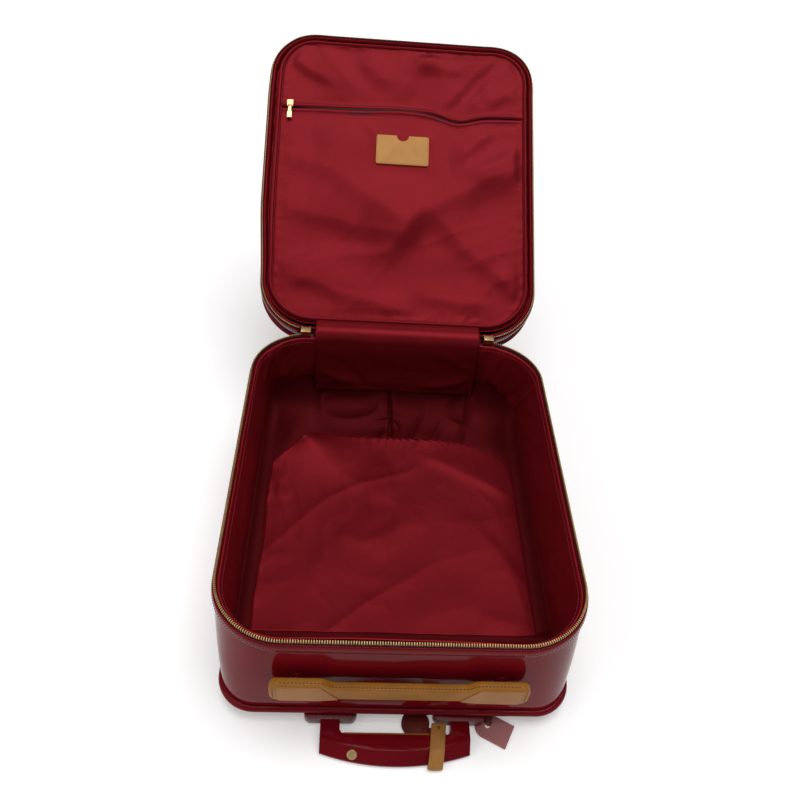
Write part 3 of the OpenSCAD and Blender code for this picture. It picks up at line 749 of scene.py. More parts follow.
def make_floor_lining(m):
    """Satin over the floor, which climbs over the wheel housings and is gathered along a middle seam."""
    ys = FLOOR_LINE.rows(2.6 * MM)
    u = np.linspace(-1, 1, 150)
    half = FLOOR_LINE.half_width(ys)[:, None]
    x, y = half * u[None, :], ys[:, None] + 0 * u[None, :]
    from_far = FLOOR_LINE.high_y - y
    back = eased((y - (NEAR_Y + 318 * MM)) / (24 * MM))
    cut = bell(x, -3 * MM, 1.6 * MM)
    ruche = bell(x, -3 * MM, 17 * MM) * wrinkles(y, x * 0.25, 0.0, 0.009, 2.0, 33)
    inner = eased((150 * MM - np.abs(x)) / (30 * MM))
    folds = 5.5 * MM * wrinkles(x, y, 1.15, 0.034, 3.0, 31) * back * inner
    z = FLOOR_Z + 0.6 * MM + np.maximum(wheel_bump(x, y), cove(y)) + np.abs(folds) * 0.8
    z += back * (5 * MM * ruche * (1 - cut) - 8 * MM * cut * np.clip(from_far / (20 * MM), 0, 1))
    inset = half - np.abs(x)
    z += 7 * MM * (1 - np.clip(inset / (16 * MM), 0, 1)) ** 2
    from_near = y - NEAR_Y
    z += 3.3 * MM * (1 - eased((from_near - 72 * MM) / (6 * MM)))
    z += 4.5 * MM * (1 - eased((from_near - 46 * MM) / (24 * MM)))
    z = np.maximum(z, FLOOR_Z + 0.3 * MM)
    # The floor satin is the much darker copy of the lining satin: painted shade over the floor and the
    # cove.
    floor = grid_object("floor_satin", np.stack([x, y, z], -1), m["satin_floor_painted_shade"], ys - ys[0], u * HALF_W)
    thicken(floor, 0.7 * MM)
    settle(floor, body="case", slot="satin", replaces=["floor_lining"])


# The rows of each sheet's folds are start, end, width and height in millimetres, and lopsidedness.


def crease(x, y, start, end, width, height, lopsided):
    """A crested fold of cloth along a line. A lopsided fold is steeper on one side."""
    ax, ay, bx, by = (v * MM for v in (*start, *end))
    dx, dy = bx - ax, by - ay
    length = math.hypot(dx, dy)
    t = ((x - ax) * dx + (y - ay) * dy) / length ** 2
    side = ((x - ax) * dy - (y - ay) * dx) / length
    drift = smooth_noise(t * 1.7 + start[0], t * 0 + start[1], 3) * np.clip(t * (1 - t) * 4, 0, 1)
    side = side + 0.05 * length * drift
    scale = width * MM * np.where(side > 0, 1 - lopsided, 1 + lopsided)
    crest = 0.35 * np.exp(-np.sqrt(side ** 2 + (1.5 * MM) ** 2) / scale)
    crest = crest + 0.65 * np.exp(-(side / scale) ** 2 / 1.6)
    tip = 0.3  # how much of its length a fold takes to run out
    ends = eased(np.clip((t + tip) / (2 * tip), 0, 1) * np.clip((1 + tip - t) / (2 * tip), 0, 1))
    return height * MM * crest * ends


FLAP_FOLDS = [
    ((-83, 300), (-1, 248), 17.6, 1.6, 0.4),
    ((-13, 310), (-3, 252), 9.9, 1.4, -0.4),
    ((-60, 198), (-30, 183), 9.9, 1.1, 0.3),
    ((-30, 183), (4, 207), 11, 1.6, -0.3),
    ((4, 207), (34, 216), 9.9, 0.8, 0.2),
    ((44, 316), (134, 266), 14.3, 2.6, 0.55),
    ((90, 226), (146, 128), 15.4, 1.7, -0.5),
    ((-142, 258), (-126, 247), 6.6, 1, 0.3),
    ((-140, 166), (-118, 162), 6.6, 0.8, 0.0),
    ((-39, 158), (-1, 184), 15.4, 1, 0.4),
    ((-59, 150), (-2, 136), 11, 0.7, 0.2),
    ((-99, 322), (-72, 292), 11, 1.4, 0.3),
    ((20, 90), (90, 110), 17.6, 1.1, 0.3),
    ((95, 95), (140, 84), 11, 1.3, -0.2),
]


def make_flap(m):
    """The loose satin flap on the floor, with its far left corner curling up."""
    near, far = 72.0, 345.0  # millimetres from the near end, like the edges below
    ys = np.linspace(near, far, 118)
    round_r = 56.0
    drop = np.clip(ys - (far - round_r), 0, round_r)
    right = 150 - (round_r - np.sqrt(np.maximum(round_r ** 2 - drop ** 2, 0))) * 0.98
    slant = np.clip((ys - 298) / (far - 298), 0, 1)
    left = -149 + 56 * slant ** 1.15 + 1.2 * np.sin(ys / 23)
    u = np.linspace(0, 1, 128)
    x = (left[:, None] * (1 - u) + right[:, None] * u) * MM
    y = ys[:, None] * MM + 0 * x
    z = 3.4 * MM + 0 * x
    for fold in FLAP_FOLDS:
        z += crease(x, y, *fold)
    z += 1.0 * MM * wrinkles(x, y, 0.5, 0.055, 2.2, 41) + 0.45 * MM * wrinkles(x, y, 1.9, 0.022, 3, 42)
    from_far = far * MM - y
    gathers = np.sin(x / (1.6 * MM) + 2 * np.sin(x / (11 * MM))) * np.exp(-from_far / (7 * MM))
    z += 0.6 * MM * gathers * bell(x, 15 * MM, 80 * MM)
    z += 5 * MM * np.exp(-from_far / (24 * MM)) * bell(x, 20 * MM, 80 * MM)
    curl = np.exp(-np.hypot((x + 112 * MM) * 0.75, (y - 330 * MM)) / (26 * MM))
    z += 21 * MM * curl
    from_left = x - left[:, None] * MM
    from_right = right[:, None] * MM - x
    z += 1.6 * MM * np.exp(-from_left / (6 * MM)) * wrinkles(y, x, 0.2, 0.018, 1.5, 43)
    z -= 2.2 * MM * np.exp(-from_right / (16 * MM))
    z = np.maximum(z, 1.2 * MM)
    points = np.stack([x, NEAR_Y + y, FLOOR_Z + z], -1)
    # The flap and its hem use the darker copy of the lining satin: painted shade on the flap.
    flap = grid_object("floor_flap_satin", points, m["satin_flap_painted_shade"], (ys - near) * MM, u * 0.3)
    thicken(flap, 0.9 * MM)
    settle(flap, body="floor_flap", slot="satin", replaces=["floor_flap"])
    rim = np.concatenate([points[:-1, 0], points[-1, :-1], points[:0:-1, -1]])
    bound = tube_along("flap_hem", rim + np.array([0, 0, 0.1 * MM]), 0.5 * MM, m["satin_flap_painted_shade"])
    settle(bound, body="floor_flap", slot="satin")


def tube_along(name, path, radius, material, sides=8):
    """A round tube along a path of points."""
    path = np.asarray(path, float)
    way = np.vstack([path[1:], 2 * path[-1] - path[-2]]) - np.vstack([2 * path[0] - path[1], path[:-1]])
    way /= np.linalg.norm(way, axis=1)[:, None] + 1e-12
    across = np.cross(way, [0, 0, 1.0])
    flat = np.linalg.norm(across, axis=1) < 1e-3
    across[flat] = np.cross(way[flat], [0, 1.0, 0])
    across /= np.linalg.norm(across, axis=1)[:, None]
    rise = np.cross(across, way)
    a = np.linspace(0, 2 * math.pi, sides, endpoint=False)[None, :, None]
    points = path[:, None, :] + radius * (across[:, None, :] * np.cos(a) + rise[:, None, :] * np.sin(a))
    run = np.concatenate([[0], np.cumsum(np.linalg.norm(np.diff(path, axis=0), axis=1))])
    obj = grid_object(name, points, material, run, np.linspace(0, 0.01, sides), closed_along=True)
    cap_ends(obj)
    return obj


# --- Hinge: satin inside, patent strip outside ---


def lid_place(t, d):
    """Y and Z of a point of the open lid, t from the hinge along the lid and d behind its rim."""
    p = OPEN_LID @ Vector((0, HINGE.y - t, RIM_Z + d))
    return p.y, p.z


def smooth_path(points, count):
    """Distances along a smooth curve through a few points in the YZ plane, and its points there."""
    points = np.array(points, float)
    run = np.concatenate([[0], np.cumsum(np.linalg.norm(np.diff(points, axis=0), axis=1))])
    slope = np.gradient(points, run, axis=0)
    at = np.linspace(0, run[-1], count)
    k = np.clip(np.searchsorted(run, at, side="right") - 1, 0, len(points) - 2)
    h = (run[k + 1] - run[k])[:, None]
    t = ((at - run[k])[:, None]) / h
    p0, p1, m0, m1 = points[k], points[k + 1], slope[k] * h, slope[k + 1] * h
    path = (2 * t ** 3 - 3 * t ** 2 + 1) * p0 + (t ** 3 - 2 * t ** 2 + t) * m0
    path += (-2 * t ** 3 + 3 * t ** 2) * p1 + (t ** 3 - t ** 2) * m1
    return at, path


def blended_strip(obj):
    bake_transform(obj)


GUSSET_FOLDS = [
    ((-101, 35), (-60, 15), 5.5, 2.6, 0.2),
    ((-74, 50), (-32, 9), 6.0, -2.3, -0.2),
    ((38, 9), (103, 30), 5.0, 2.6, 0.2),
    ((-101, 73), (-42, 69), 7.0, -1.3, 0),
    ((58, 66), (103, 42), 6.0, 1.8, -0.2),
    ((-20, 40), (48, 34), 8.0, -1.5, 0.2),
]


def make_hinge(m):
    """The satin gusset that joins lid and body, and the patent strip behind it."""
    wall_y = FAR_Y - 5.5 * MM
    route = [(wall_y - 7 * MM, 50 * MM), (wall_y - 3 * MM, 70 * MM), (wall_y - 1.5 * MM, 100 * MM),
             (wall_y - 0.5 * MM, 124 * MM), (FAR_Y - 1.5 * MM, RIM_Z + 1.0 * MM),
             (HINGE.y + 1.5 * MM, RIM_Z + 3.6 * MM), lid_place(8 * MM, 1.0 * MM),
             lid_place(20 * MM, 6 * MM)]
    run, path = smooth_path(route, 64)
    u = np.linspace(-1, 1, 90)
    x = GUSSET_HALF * u[None, :] + 0 * run[:, None]
    s = run[:, None] + 0 * x
    way = np.gradient(path, run, axis=0)
    out = np.stack([-way[:, 1], way[:, 0]], 1)
    folds = sum(crease(x, s, *fold) for fold in GUSSET_FOLDS)
    ruffle = 1.6 * MM * smooth_noise(x / 0.030, s / 0.05, 52) * np.exp(-s / (26 * MM))
    drape = 1.2 * MM * smooth_noise(x / 0.050 + s / 0.07, s / 0.04, 53) * bell(s, 40 * MM, 34 * MM)
    clear = 3.2 * MM * eased(s / (18 * MM))
    inset = 1 - np.clip((np.abs(u) - 0.93) / 0.07, 0, 1)[None, :]
    lift = ((folds + ruffle + drape) * inset + clear) * np.clip((run[-1] - s) / (10 * MM), 0, 1)
    points = np.stack([x, path[:, 0, None] + out[:, 0, None] * lift,
                       path[:, 1, None] + out[:, 1, None] * lift], -1)
    points[..., 2] += 4 * MM * np.exp(-s / (12 * MM)) * smooth_noise(x / 0.05, 0 * x, 54)
    gusset = grid_object("hinge_gusset", points, m["satin"], run, u * GUSSET_HALF)
    thicken(gusset, 0.7 * MM, 0)
    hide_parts("hinge_strip")
    blended_strip(gusset)
    for side in (-1, 1):
        line = np.stack([side * (GUSSET_HALF - 1.5 * MM) + 0 * run, path[:, 0], path[:, 1]], 1)
        facing = np.stack([0 * run, out[:, 0], out[:, 1]], 1)
        thread = stitch_row("gusset_stitches_" + ("left", "right")[side > 0],
                            line + facing * 0.9 * MM, facing, m["thread_satin"], 3.6 * MM)
        blended_strip(thread)

    cover = [(FAR_Y + 2.4 * MM, 117 * MM), (FAR_Y + 2.2 * MM, 126 * MM),
             (HINGE.y + 1.2 * MM, RIM_Z - 3.5 * MM), (HINGE.y + 3.0 * MM, RIM_Z - 1.2 * MM),
             lid_place(0.6 * MM, 6 * MM), lid_place(0.2 * MM, 15 * MM)]
    run, path = smooth_path(cover, 26)
    u = np.linspace(-1, 1, 50)
    x = (GUSSET_HALF + 3 * MM) * u[None, :] + 0 * run[:, None]
    points = np.stack([x, path[:, 0, None] + 0 * x, path[:, 1, None] + 0 * x], -1)
    strip = grid_object("hinge_cover", points, m["patent"], run, u * GUSSET_HALF)
    thicken(strip, 0.9 * MM, 0)
    blended_strip(strip)


# --- Lid ---


def make_lid_shell(m):
    """The lid's patent side wall with its roll, binding, zip tape and teeth."""

    def padding(s, z, x, y):
        d = z - RIM_Z
        share = np.clip((d - 6 * MM) / (30 * MM), 0, 1)
        outer = np.arange(z.shape[1])[None, :] < 9
        waves = 0.5 * MM * smooth_noise(s / 0.05, z / 0.04, 61)
        return np.where(outer, (0.9 * MM + waves) * np.sin(math.pi * share), 0)

    profile = above_rim([(0, 6.5), *((0.3, d) for d in range(10, 31, 4)), (0.2, 34), (-0.4, 37),
                         (-3, 41.5), (-3.6, 30), (-3.6, 8)])
    sweep("lid_side", ZIP_LINE, profile, m["patent"], closed_profile=True, push=padding,
                 body="lid", slot="patent", replaces=["lid_wall"])
    band = above_rim([(-0.6, 6), (0.2, 5.7), (1.1, 6.1), (1.7, 7.4), (2.1, 10), (2.3, 14), (1.9, 15.1),
                      (0.9, 15.6), (-0.5, 15.5)])
    sweep("lid_edge_band", ZIP_LINE, band, m["patent"], ends=ZIP_ENDS, closed_profile=True,
          body="lid", slot="patent", replaces=["lid_binding"])
    outline_stitches("lid_stitches", ZIP_LINE, 2.3 * MM, RIM_Z + 12.7 * MM, m["thread_red"], (1, -0.05),
                     ends=ZIP_ENDS, body="lid")
    roll = ring_profile(0.3 * MM, RIM_Z + 40 * MM, 3.7 * MM, 14)
    sweep("lid_roll", ZIP_LINE, roll, m["patent"], 5 * MM, closed_profile=True, body="lid",
          slot="patent", replaces=["lid_piping"])
    tape = above_rim([(-0.9, 7), (-0.8, 3.5), (-1.0, 1.4), (-2.0, 1.4), (-2.2, 3.5), (-2.3, 7)])
    sweep("lid_zip_tape", ZIP_LINE, tape, m["tape"], ends=ZIP_ENDS, closed_profile=True,
          body="lid")
    zip_teeth("lid_zip_teeth", RIM_Z + 2.9 * MM, RIM_Z + 0.2 * MM, -1.0 * MM, 0.55, m["teeth"],
              body="lid", slot="brass", replaces=["lid_zip"])


def make_lid_front(m):
    """The outer face of the lid: a lightly crowned patent panel with one stitched seam."""

    def drawn_in(by):
        return Outline(HALF_W - by, NEAR_Y + by, FAR_Y - by, CORNER_R - by)

    face = drawn_in(0.5 * MM)
    ys = face.rows(6 * MM)
    u = np.linspace(-1, 1, 60)
    half = face.half_width(ys)[:, None]
    x, y = half * u[None, :], ys[:, None] + 0 * u[None, :]
    inset = np.minimum(half - np.abs(x), np.minimum(y - face.low_y, face.high_y - y))
    crown = 2.6 * MM * (1 - np.exp(-np.maximum(inset, 0) / (22 * MM)))
    crown += 0.6 * MM * smooth_noise(x / 0.07, y / 0.07, 62) * np.clip(inset / 0.03, 0, 1)
    crown -= 0.9 * MM * bell(inset, 26 * MM, 1.6 * MM)
    outer = np.stack([x, y, RIM_Z + 41.6 * MM + crown], -1)
    panel = grid_object("lid_front", outer, m["patent"], ys - ys[0], u * HALF_W)
    thicken(panel, 2.2 * MM)
    settle(panel, body="lid", slot="patent", replaces=["lid_panel"])
    outline_stitches("lid_front_stitches", drawn_in(29 * MM), 0, RIM_Z + 43.9 * MM, m["thread_red"], (0, 1),
                     body="lid")


def make_lid_lining(m):
    """Satin inside the lid's wall, the ruched strip beside the pocket, and the pocket's welt."""

    def slack(s, z, x, y):
        d = (z - RIM_Z) / MM
        held = np.sin(math.pi * np.clip((d - 3) / 36, 0, 1))
        ruche = wrinkles(s, z * 0.3, 1.45, 0.012, 3, 63)
        return -(1.4 * MM * held * ruche + 1.0 * MM * held)

    profile = above_rim([(-2.4, 6.0), (-2.7, 4.0), (-3.2, 3.0), (-4.4, 3.4), (-5.2, 6),
                         *((-5.4, d) for d in range(10, 36, 5)), (-6.0, 38.5), (-9, 40), (-14, 40.4)])
    lining = sweep("lid_satin", ZIP_LINE, profile, m["satin_deep"], 3 * MM, push=slack)
    thicken(lining, 0.7 * MM)
    settle(lining, body="lid", slot="satin", replaces=["lid_lining"])

    def ruched(s, z, x, y):
        d = (z - RIM_Z) / MM
        rough = 1.0 * MM * wrinkles(s, z * 0, 1.5, 0.009, 2, 64)
        return -rough * np.clip((d - 2) / 6, 0, 1)

    valley = above_rim([(8.0, 4.2), (6.6, 7.6), (5.0, 9.4), (3.4, 8.6), (1.9, 6.4), (0.6, 4.8),
                        (-1.6, 4.2)])
    gutter = sweep("pocket_surround", WELT_LINE, valley, m["satin"], 3 * MM, push=ruched)
    thicken(gutter, 0.7 * MM, 0)
    settle(gutter, body="lid", slot="satin")
    welt = ring_profile(1.2 * MM, RIM_Z + 3.9 * MM, 2.1 * MM, 12)
    sweep("pocket_welt", WELT_LINE, welt, m["satin"], closed_profile=True, body="lid",
          slot="satin")


POCKET_FOLDS = [
    ((-150, 168), (-45, 145), 24, 3.4, 0.5),
    ((-45, 145), (16, 138), 24, 3.6, 0.5),
    ((-30, 108), (65, 196), 26, 4.4, 0.5),
    ((65, 196), (150, 238), 24, 4.0, 0.4),
    ((40, 172), (127, 91), 24, 3.8, 0.5),
    ((-88, 226), (14, 150), 28, 3.4, 0.5),
    ((-141, 76), (-76, 54), 17, 3.4, 0.5),
    ((-76, 54), (8, 34), 18, 3.0, 0.4),
    ((-146, 92), (-30, 110), 20, 2.8, -0.5),
    ((75, 250), (116, 290), 16, 3.2, 0.5),
    ((86, 230), (155, 262), 18, 3.2, -0.4),
    ((20, 62), (110, 48), 18, 3.0, 0.4),
    ((127, 91), (154, 62), 14, 2.8, 0.4),
    ((-150, 244), (-92, 226), 22, 2.8, 0.4),
    ((-112, 268), (-60, 290), 20, 2.4, -0.4),
]

TOP_FOLDS = [
    ((-154, 386), (-102, 356), 12, 3.6, 0.5),
    ((-110, 398), (-70, 346), 18, 3.4, -0.4),
    ((-60, 388), (-20, 360), 16, 2.8, 0.4),
    ((-10, 344), (40, 404), 20, 3.4, 0.4),
    ((54, 332), (116, 400), 16, 3.6, 0.5),
    ((86, 330), (138, 390), 13, 3.4, -0.5),
    ((20, 392), (80, 380), 16, 2.6, 0.4),
    ((112, 340), (148, 350), 12, 2.6, 0.3),
]


def slit_at(x):
    """Where the slack slit of the pocket runs, as a distance from the hinge."""
    x = x / MM
    wave = 3.2 * np.exp(-((x + 10) / 55) ** 2) - 9.5 * np.exp(-((x - 74) / 26) ** 2)
    start = -3.0 * np.exp(-((x + 163) / 30) ** 2)
    return SLIT_T + (wave + start) * MM


def pocket_relief(x, t, folds, seed):
    """How far the pocket's satin stands out at a place."""
    rise = 0 * x
    for fold in folds:
        rise = rise + crease(x, t, *fold)
    rise = rise + 1.6 * MM * smooth_noise(x / 0.06, t / 0.06, seed)
    return rise + 0.5 * MM * wrinkles(x, t, 0.6, 0.03, 2.5, seed + 1)


def pocket_panel(name, node, material, low_t, high_t, folds, seed):
    """One satin panel of the lid's pocket between two edges given as functions of x."""
    is_front = high_t is slit_at
    round_rows = WELT_LINE.radius * (1 - np.cos(np.linspace(0, math.pi / 2, 26)))
    if is_front:
        span = SLIT_T - WELT_NEAR_T
        v = np.concatenate([round_rows[:-1] / span, np.linspace(WELT_LINE.radius / span, 1, 90)])
    else:
        span = WELT_FAR_T - SLIT_T
        v = np.concatenate([np.linspace(0, 1 - WELT_LINE.radius / span, 18)[:-1],
                            1 - round_rows[::-1] / span])
    u = np.linspace(-1, 1, 124)
    mean_t = low_t(0 * u[:1])[0] * (1 - v) + high_t(0 * u[:1])[0] * v
    half = WELT_LINE.half_width(HINGE.y - mean_t)[:, None]
    x = half * u[None, :]
    t = low_t(x) * (1 - v[:, None]) + high_t(x) * v[:, None]
    from_side, from_end = half - np.abs(x), np.minimum(t - WELT_NEAR_T, WELT_FAR_T - t)
    inset = np.minimum(from_side, from_end)
    rise = pocket_relief(x, t, folds, seed) * eased(inset / (16 * MM))
    rise -= 2.6 * MM * np.clip(inset / (40 * MM), 0, 1)
    gather = 1.5 * MM * np.exp(-np.maximum(inset, 0) / (9 * MM)) * np.clip(inset / (2 * MM), 0, 1)
    around = np.where(from_side < from_end, t, x)
    rise += gather * wrinkles(around, inset, 1.5, 0.011, 2, seed + 3)
    gap = np.abs(t - slit_at(x))
    near_slit = np.clip((x + 166 * MM) / (10 * MM), 0, 1) * np.clip((158 * MM - x) / (10 * MM), 0, 1)
    if is_front:
        rise += near_slit * (1.6 * MM * bell(gap, 2.2 * MM, 3.2 * MM) - 2.2 * MM * bell(gap, 0, 0.9 * MM))
        rise -= 0.9 * MM * bell(gap, 9 * MM, 1.4 * MM)
        off_card = np.maximum(np.abs(x - CARD_X) - CARD_HALF_W * MM, np.abs(t - CARD_T) - CARD_HALF_L * MM)
        rise *= np.clip((off_card - 2 * MM) / (26 * MM), 0, 1) ** 0.7
    else:
        rise += near_slit * (2.6 * MM * bell(gap, 1.5 * MM, 3.5 * MM) - 1.4 * MM * bell(gap, 0, 0.7 * MM))
    points = np.stack([x, HINGE.y - t, RIM_Z + 5.4 * MM - rise], -1)
    panel = grid_object(name, points, material, v * span, u * WELT_LINE.half_w)
    thicken(panel, 0.7 * MM, 1.0)
    settle(panel, body="lid", slot="satin", replaces=[node])


def make_pocket(m):
    """The lid's pocket: two satin panels that meet at a zipped slit, and the card holder."""
    pocket_panel("pocket_front", "lid_pocket_front", m["satin"], lambda x: WELT_NEAR_T + 0.5 * MM + 0 * x,
                 slit_at, POCKET_FOLDS, 71)
    pocket_panel("pocket_top", "lid_pocket_top", m["satin"], slit_at,
                 lambda x: WELT_FAR_T - 0.5 * MM + 0 * x, TOP_FOLDS, 75)

    x = np.linspace(-158, 156, 160) * MM
    line = np.stack([x, HINGE.y - slit_at(x) + 9 * MM, RIM_Z + 4.6 * MM + 0 * x], 1)
    facing = np.tile([0, 0, -1.0], (len(x), 1))
    thread = stitch_row("pocket_stitches", line, facing, m["thread_satin"], 3.2 * MM, 2 * MM, 0.26 * MM)
    settle(thread, body="lid")
    make_pocket_zip(m)
    make_card_holder(m)


def make_pocket_zip(m):
    """The pocket's closed coil zip, down in the slit between the two panels."""
    x = np.linspace(-160, 158, 220) * MM
    run = x - x[0]
    across = np.array([-6, -2.2, -0.9, 0, 0.9, 2.2, 6]) * MM
    t = slit_at(x)[:, None] + across[None, :]
    depth = RIM_Z + (7.8 - 0.9 * bell(across, 0, 1.4 * MM)) * MM
    points = np.stack([x[:, None] + 0 * t, HINGE.y - t, depth + 0 * t], -1)
    tape = grid_object("pocket_zip_tape", points, m["tape"], run, across)
    thicken(tape, 0.5 * MM, 0)
    settle(tape, body="lid")
    verts, faces = [], []
    pitch = 1.5 * MM
    for k in range(int(run[-1] / pitch)):
        cx = x[0] + (k + 0.5) * pitch
        cy = HINGE.y - float(slit_at(np.array(cx)))
        base = len(verts)
        for side in (-1, 1):
            for along, lift in ((-0.5, 0), (0.5, 0), (0.35, 0.7), (-0.35, 0.7)):
                verts.append((cx + along * MM, cy - side * 0.15 * MM, RIM_Z + (7.0 - lift) * MM))
                verts.append((cx + along * MM, cy - side * 1.7 * MM, RIM_Z + (7.2 - lift * 0.6) * MM))
        for start in (base, base + 8):
            a = [start + 2 * i for i in range(4)]
            b = [start + 2 * i + 1 for i in range(4)]
            faces += [tuple(a), tuple(reversed(b))]
            faces += [(a[i], b[i], b[(i + 1) % 4], a[(i + 1) % 4]) for i in range(4)]
    teeth = mesh_object("pocket_zip_coil", verts, faces, m["tape"], smooth=False)
    settle(teeth, body="lid", replaces=["pocket_zip_chain"])


def make_card_holder(m):
    """The leather card holder: a flat patch with a thumb notch, pressed edges and stitches."""
    half_w, half_l, r, notch = CARD_HALF_W, CARD_HALF_L, 3, 8

    def arc(cx, cy, radius, degrees):
        turns = [math.radians(a) for a in degrees]
        return [(cx + radius * math.cos(a), cy + radius * math.sin(a)) for a in turns]

    def on_lid(pairs, d):
        return [(CARD_X + a * MM, HINGE.y - CARD_T - b * MM, RIM_Z + d * MM) for a, b in pairs]

    ring = arc(half_w - r, half_l - r, r, range(0, 91, 15)) + arc(0, half_l, notch, range(0, -181, -12))
    ring += arc(r - half_w, half_l - r, r, range(90, 181, 15))
    ring += arc(r - half_w, r - half_l, r, range(180, 271, 15))
    ring += arc(half_w - r, r - half_l, r, range(270, 361, 15))
    bm = bmesh.new()
    face = bm.faces.new([bm.verts.new(place) for place in on_lid(ring, 4.8)])
    raised = bmesh.ops.extrude_face_region(bm, geom=[face])
    for v in raised["geom"]:
        if isinstance(v, bmesh.types.BMVert):
            v.co.z -= 1.7 * MM
    bmesh.ops.recalc_face_normals(bm, faces=bm.faces[:])
    mesh = bpy.data.meshes.new("card_holder")
    bm.to_mesh(mesh)
    bm.free()
    patch = bpy.data.objects.new("card_holder", mesh)
    patch.data.materials.append(m["hide_pale"])
    scene.collection.objects.link(patch)
    round_edges(patch, 0.45 * MM)
    apply_modifiers(patch)
    settle(patch, body="lid", slot="natural_leather", replaces=["card_patch"])

    seam = [(-half_w + 1.6, half_l - 2), (-half_w + 1.6, -half_l + 3), (-half_w + 3, -half_l + 1.6),
            (half_w - 3, -half_l + 1.6), (half_w - 1.6, -half_l + 3), (half_w - 1.6, half_l - 2)]
    line = np.array(on_lid(seam, 3.1))
    dense = np.concatenate([np.linspace(line[i], line[i + 1], 20) for i in range(len(line) - 1)])
    thread = stitch_row("card_stitches", dense, np.tile([0, 0, -1.0], (len(dense), 1)), m["thread_tan"],
                        2.6 * MM, 1.8 * MM, 0.24 * MM)
    settle(thread, body="lid")


# --- Carry handle ---


def make_carry_handle(m):
    """A flat leather handle, waisted between its two ends, with a sewn pad on each end."""
    low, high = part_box("carry_handle")
    centre = (low + high) / 2
    half_l, half_h, half_t = (high - low).x / 2, (high - low).z / 2, (high - low).y / 2
    r = 8 * MM
    turn = half_l - r * (1 - np.cos(np.linspace(0, math.pi / 2, 9)))
    xs = np.concatenate([turn, np.arange(106, 76, -5) * MM, np.arange(76, 50, -2) * MM,
                         np.arange(50, 2, -6) * MM])
    xs = np.concatenate([-xs, xs[::-1]])

    def edge(x, waist):
        """Height of the top or bottom edge from the middle; it draws in by waist between the ends."""
        x = np.abs(x)
        inset = np.clip(half_l - x, 0, r)
        corner = r - np.sqrt(np.maximum(r * r - (r - inset) ** 2, 0))
        return half_h - waist * eased((73 * MM - x) / (15 * MM)) - corner

    def top(x):
        return centre.z + edge(x, 6.6 * MM)

    def bottom(x):
        return centre.z - edge(x, 3.2 * MM)

    def half_thick(x):
        inset = np.clip(half_l - np.abs(x), 0, 4 * MM) / (4 * MM)
        return half_t * (0.6 + 0.4 * np.sqrt(1 - (1 - inset) ** 2))

    angles = np.linspace(0, 2 * math.pi, 44, endpoint=False)
    boxy = 0.34  # the section is an ellipse with its corners filled out
    ring_y = np.sign(np.cos(angles)) * np.abs(np.cos(angles)) ** boxy
    ring_z = np.sign(np.sin(angles)) * np.abs(np.sin(angles)) ** boxy
    middle, half = (top(xs) + bottom(xs)) / 2, (top(xs) - bottom(xs)) / 2
    points = np.stack([xs[:, None] + 0 * angles[None, :],
                       centre.y + half_thick(xs)[:, None] * ring_y[None, :],
                       middle[:, None] + half[:, None] * ring_z[None, :]], -1)
    obj = grid_object("leather_handle", points, m["hide"], xs - xs[0], angles * 0.02, closed_along=True)
    cap_ends(obj)
    settle(obj, body="carry_handle", slot="natural_leather", replaces=["carry_handle"])

    xs = np.linspace(-half_l + 9 * MM, half_l - 9 * MM, 300)
    rows = [(np.stack([xs, centre.y - 1.8 * MM + 0 * xs, top(xs) + 0.05 * MM], 1), (0, 0, 1))]
    for side in (-1, 1):
        z = np.linspace(-half_h + 5 * MM, half_h - 4 * MM, 30)
        end = np.stack([side * (half_l - 3.4 * MM) + 0 * z, low.y + 0.1 * MM + 0 * z, centre.z + z], 1)
        rows.append((end, (0, -1, 0)))
    for k, (line, up) in enumerate(rows):
        thread = stitch_row("handle_stitches_%d" % k, line, np.tile(np.array(up, float), (len(line), 1)),
                            m["thread_brown"], 3.4 * MM, 2.2 * MM, 0.5 * MM)
        settle(thread, body="carry_handle")

    for side in (-1, 1):
        outline = [(111, 10.5), (110, 11.5), (74, 11.5), (71, 10.5), (56, -9.5), (57, -10.8), (72, -13.2),
                   (109, -13.6), (111, -12)]
        front = low.y + 0.35 * MM
        verts = [(side * a * MM, front, centre.z + b * MM) for a, b in outline]
        verts += [(side * a * MM * 0.996, front - 1.1 * MM, centre.z + b * 0.95 * MM) for a, b in outline]
        n = len(outline)
        faces = [tuple(range(n)), tuple(reversed(range(n, 2 * n)))]
        faces += [(i, (i + 1) % n, n + (i + 1) % n, n + i) for i in range(n)]
        pad = mesh_object("handle_pad_" + ("left", "right")[side > 0], verts, faces, m["hide_pad"],
                          smooth=False)
        round_edges(pad, 0.35 * MM, 2)
        apply_modifiers(pad)
        settle(pad, body="carry_handle", slot="natural_leather")


# --- Trolley grip, tags and small fittings ---


def strip_along(name, path, half_w, thickness, material, centre_x, drift):
    """A leather strip outside a path in the YZ plane, with rounded edges and a slightly domed face.

    drift moves it to the right as it runs back. It lies on the floor where it would go below it.
    """
    run, line = smooth_path(path, 70)
    way = np.gradient(line, run, axis=0)
    way /= np.linalg.norm(way, axis=1)[:, None]
    out = np.stack([way[:, 1], -way[:, 0]], 1)
    section = [(-1, 0.15), (-0.97, 0.6), (-0.88, 0.92), (-0.5, 1.15), (0, 1.25), (0.5, 1.15),
               (0.88, 0.92), (0.97, 0.6), (1, 0.15), (0.9, 0), (0, 0), (-0.9, 0)]
    points = np.empty((len(run), len(section), 3))
    for j, (a, b) in enumerate(section):
        points[:, j, 0] = centre_x + a * half_w + drift * (line[:, 0] - line[:, 0].min())
        points[:, j, 1] = line[:, 0] + out[:, 0] * b * thickness
        points[:, j, 2] = np.maximum(line[:, 1] + out[:, 1] * b * thickness, 0.1 * MM)
    obj = grid_object(name, points, material, run, np.linspace(0, 0.02, len(section)), closed_along=True)
    cap_ends(obj)
    return obj


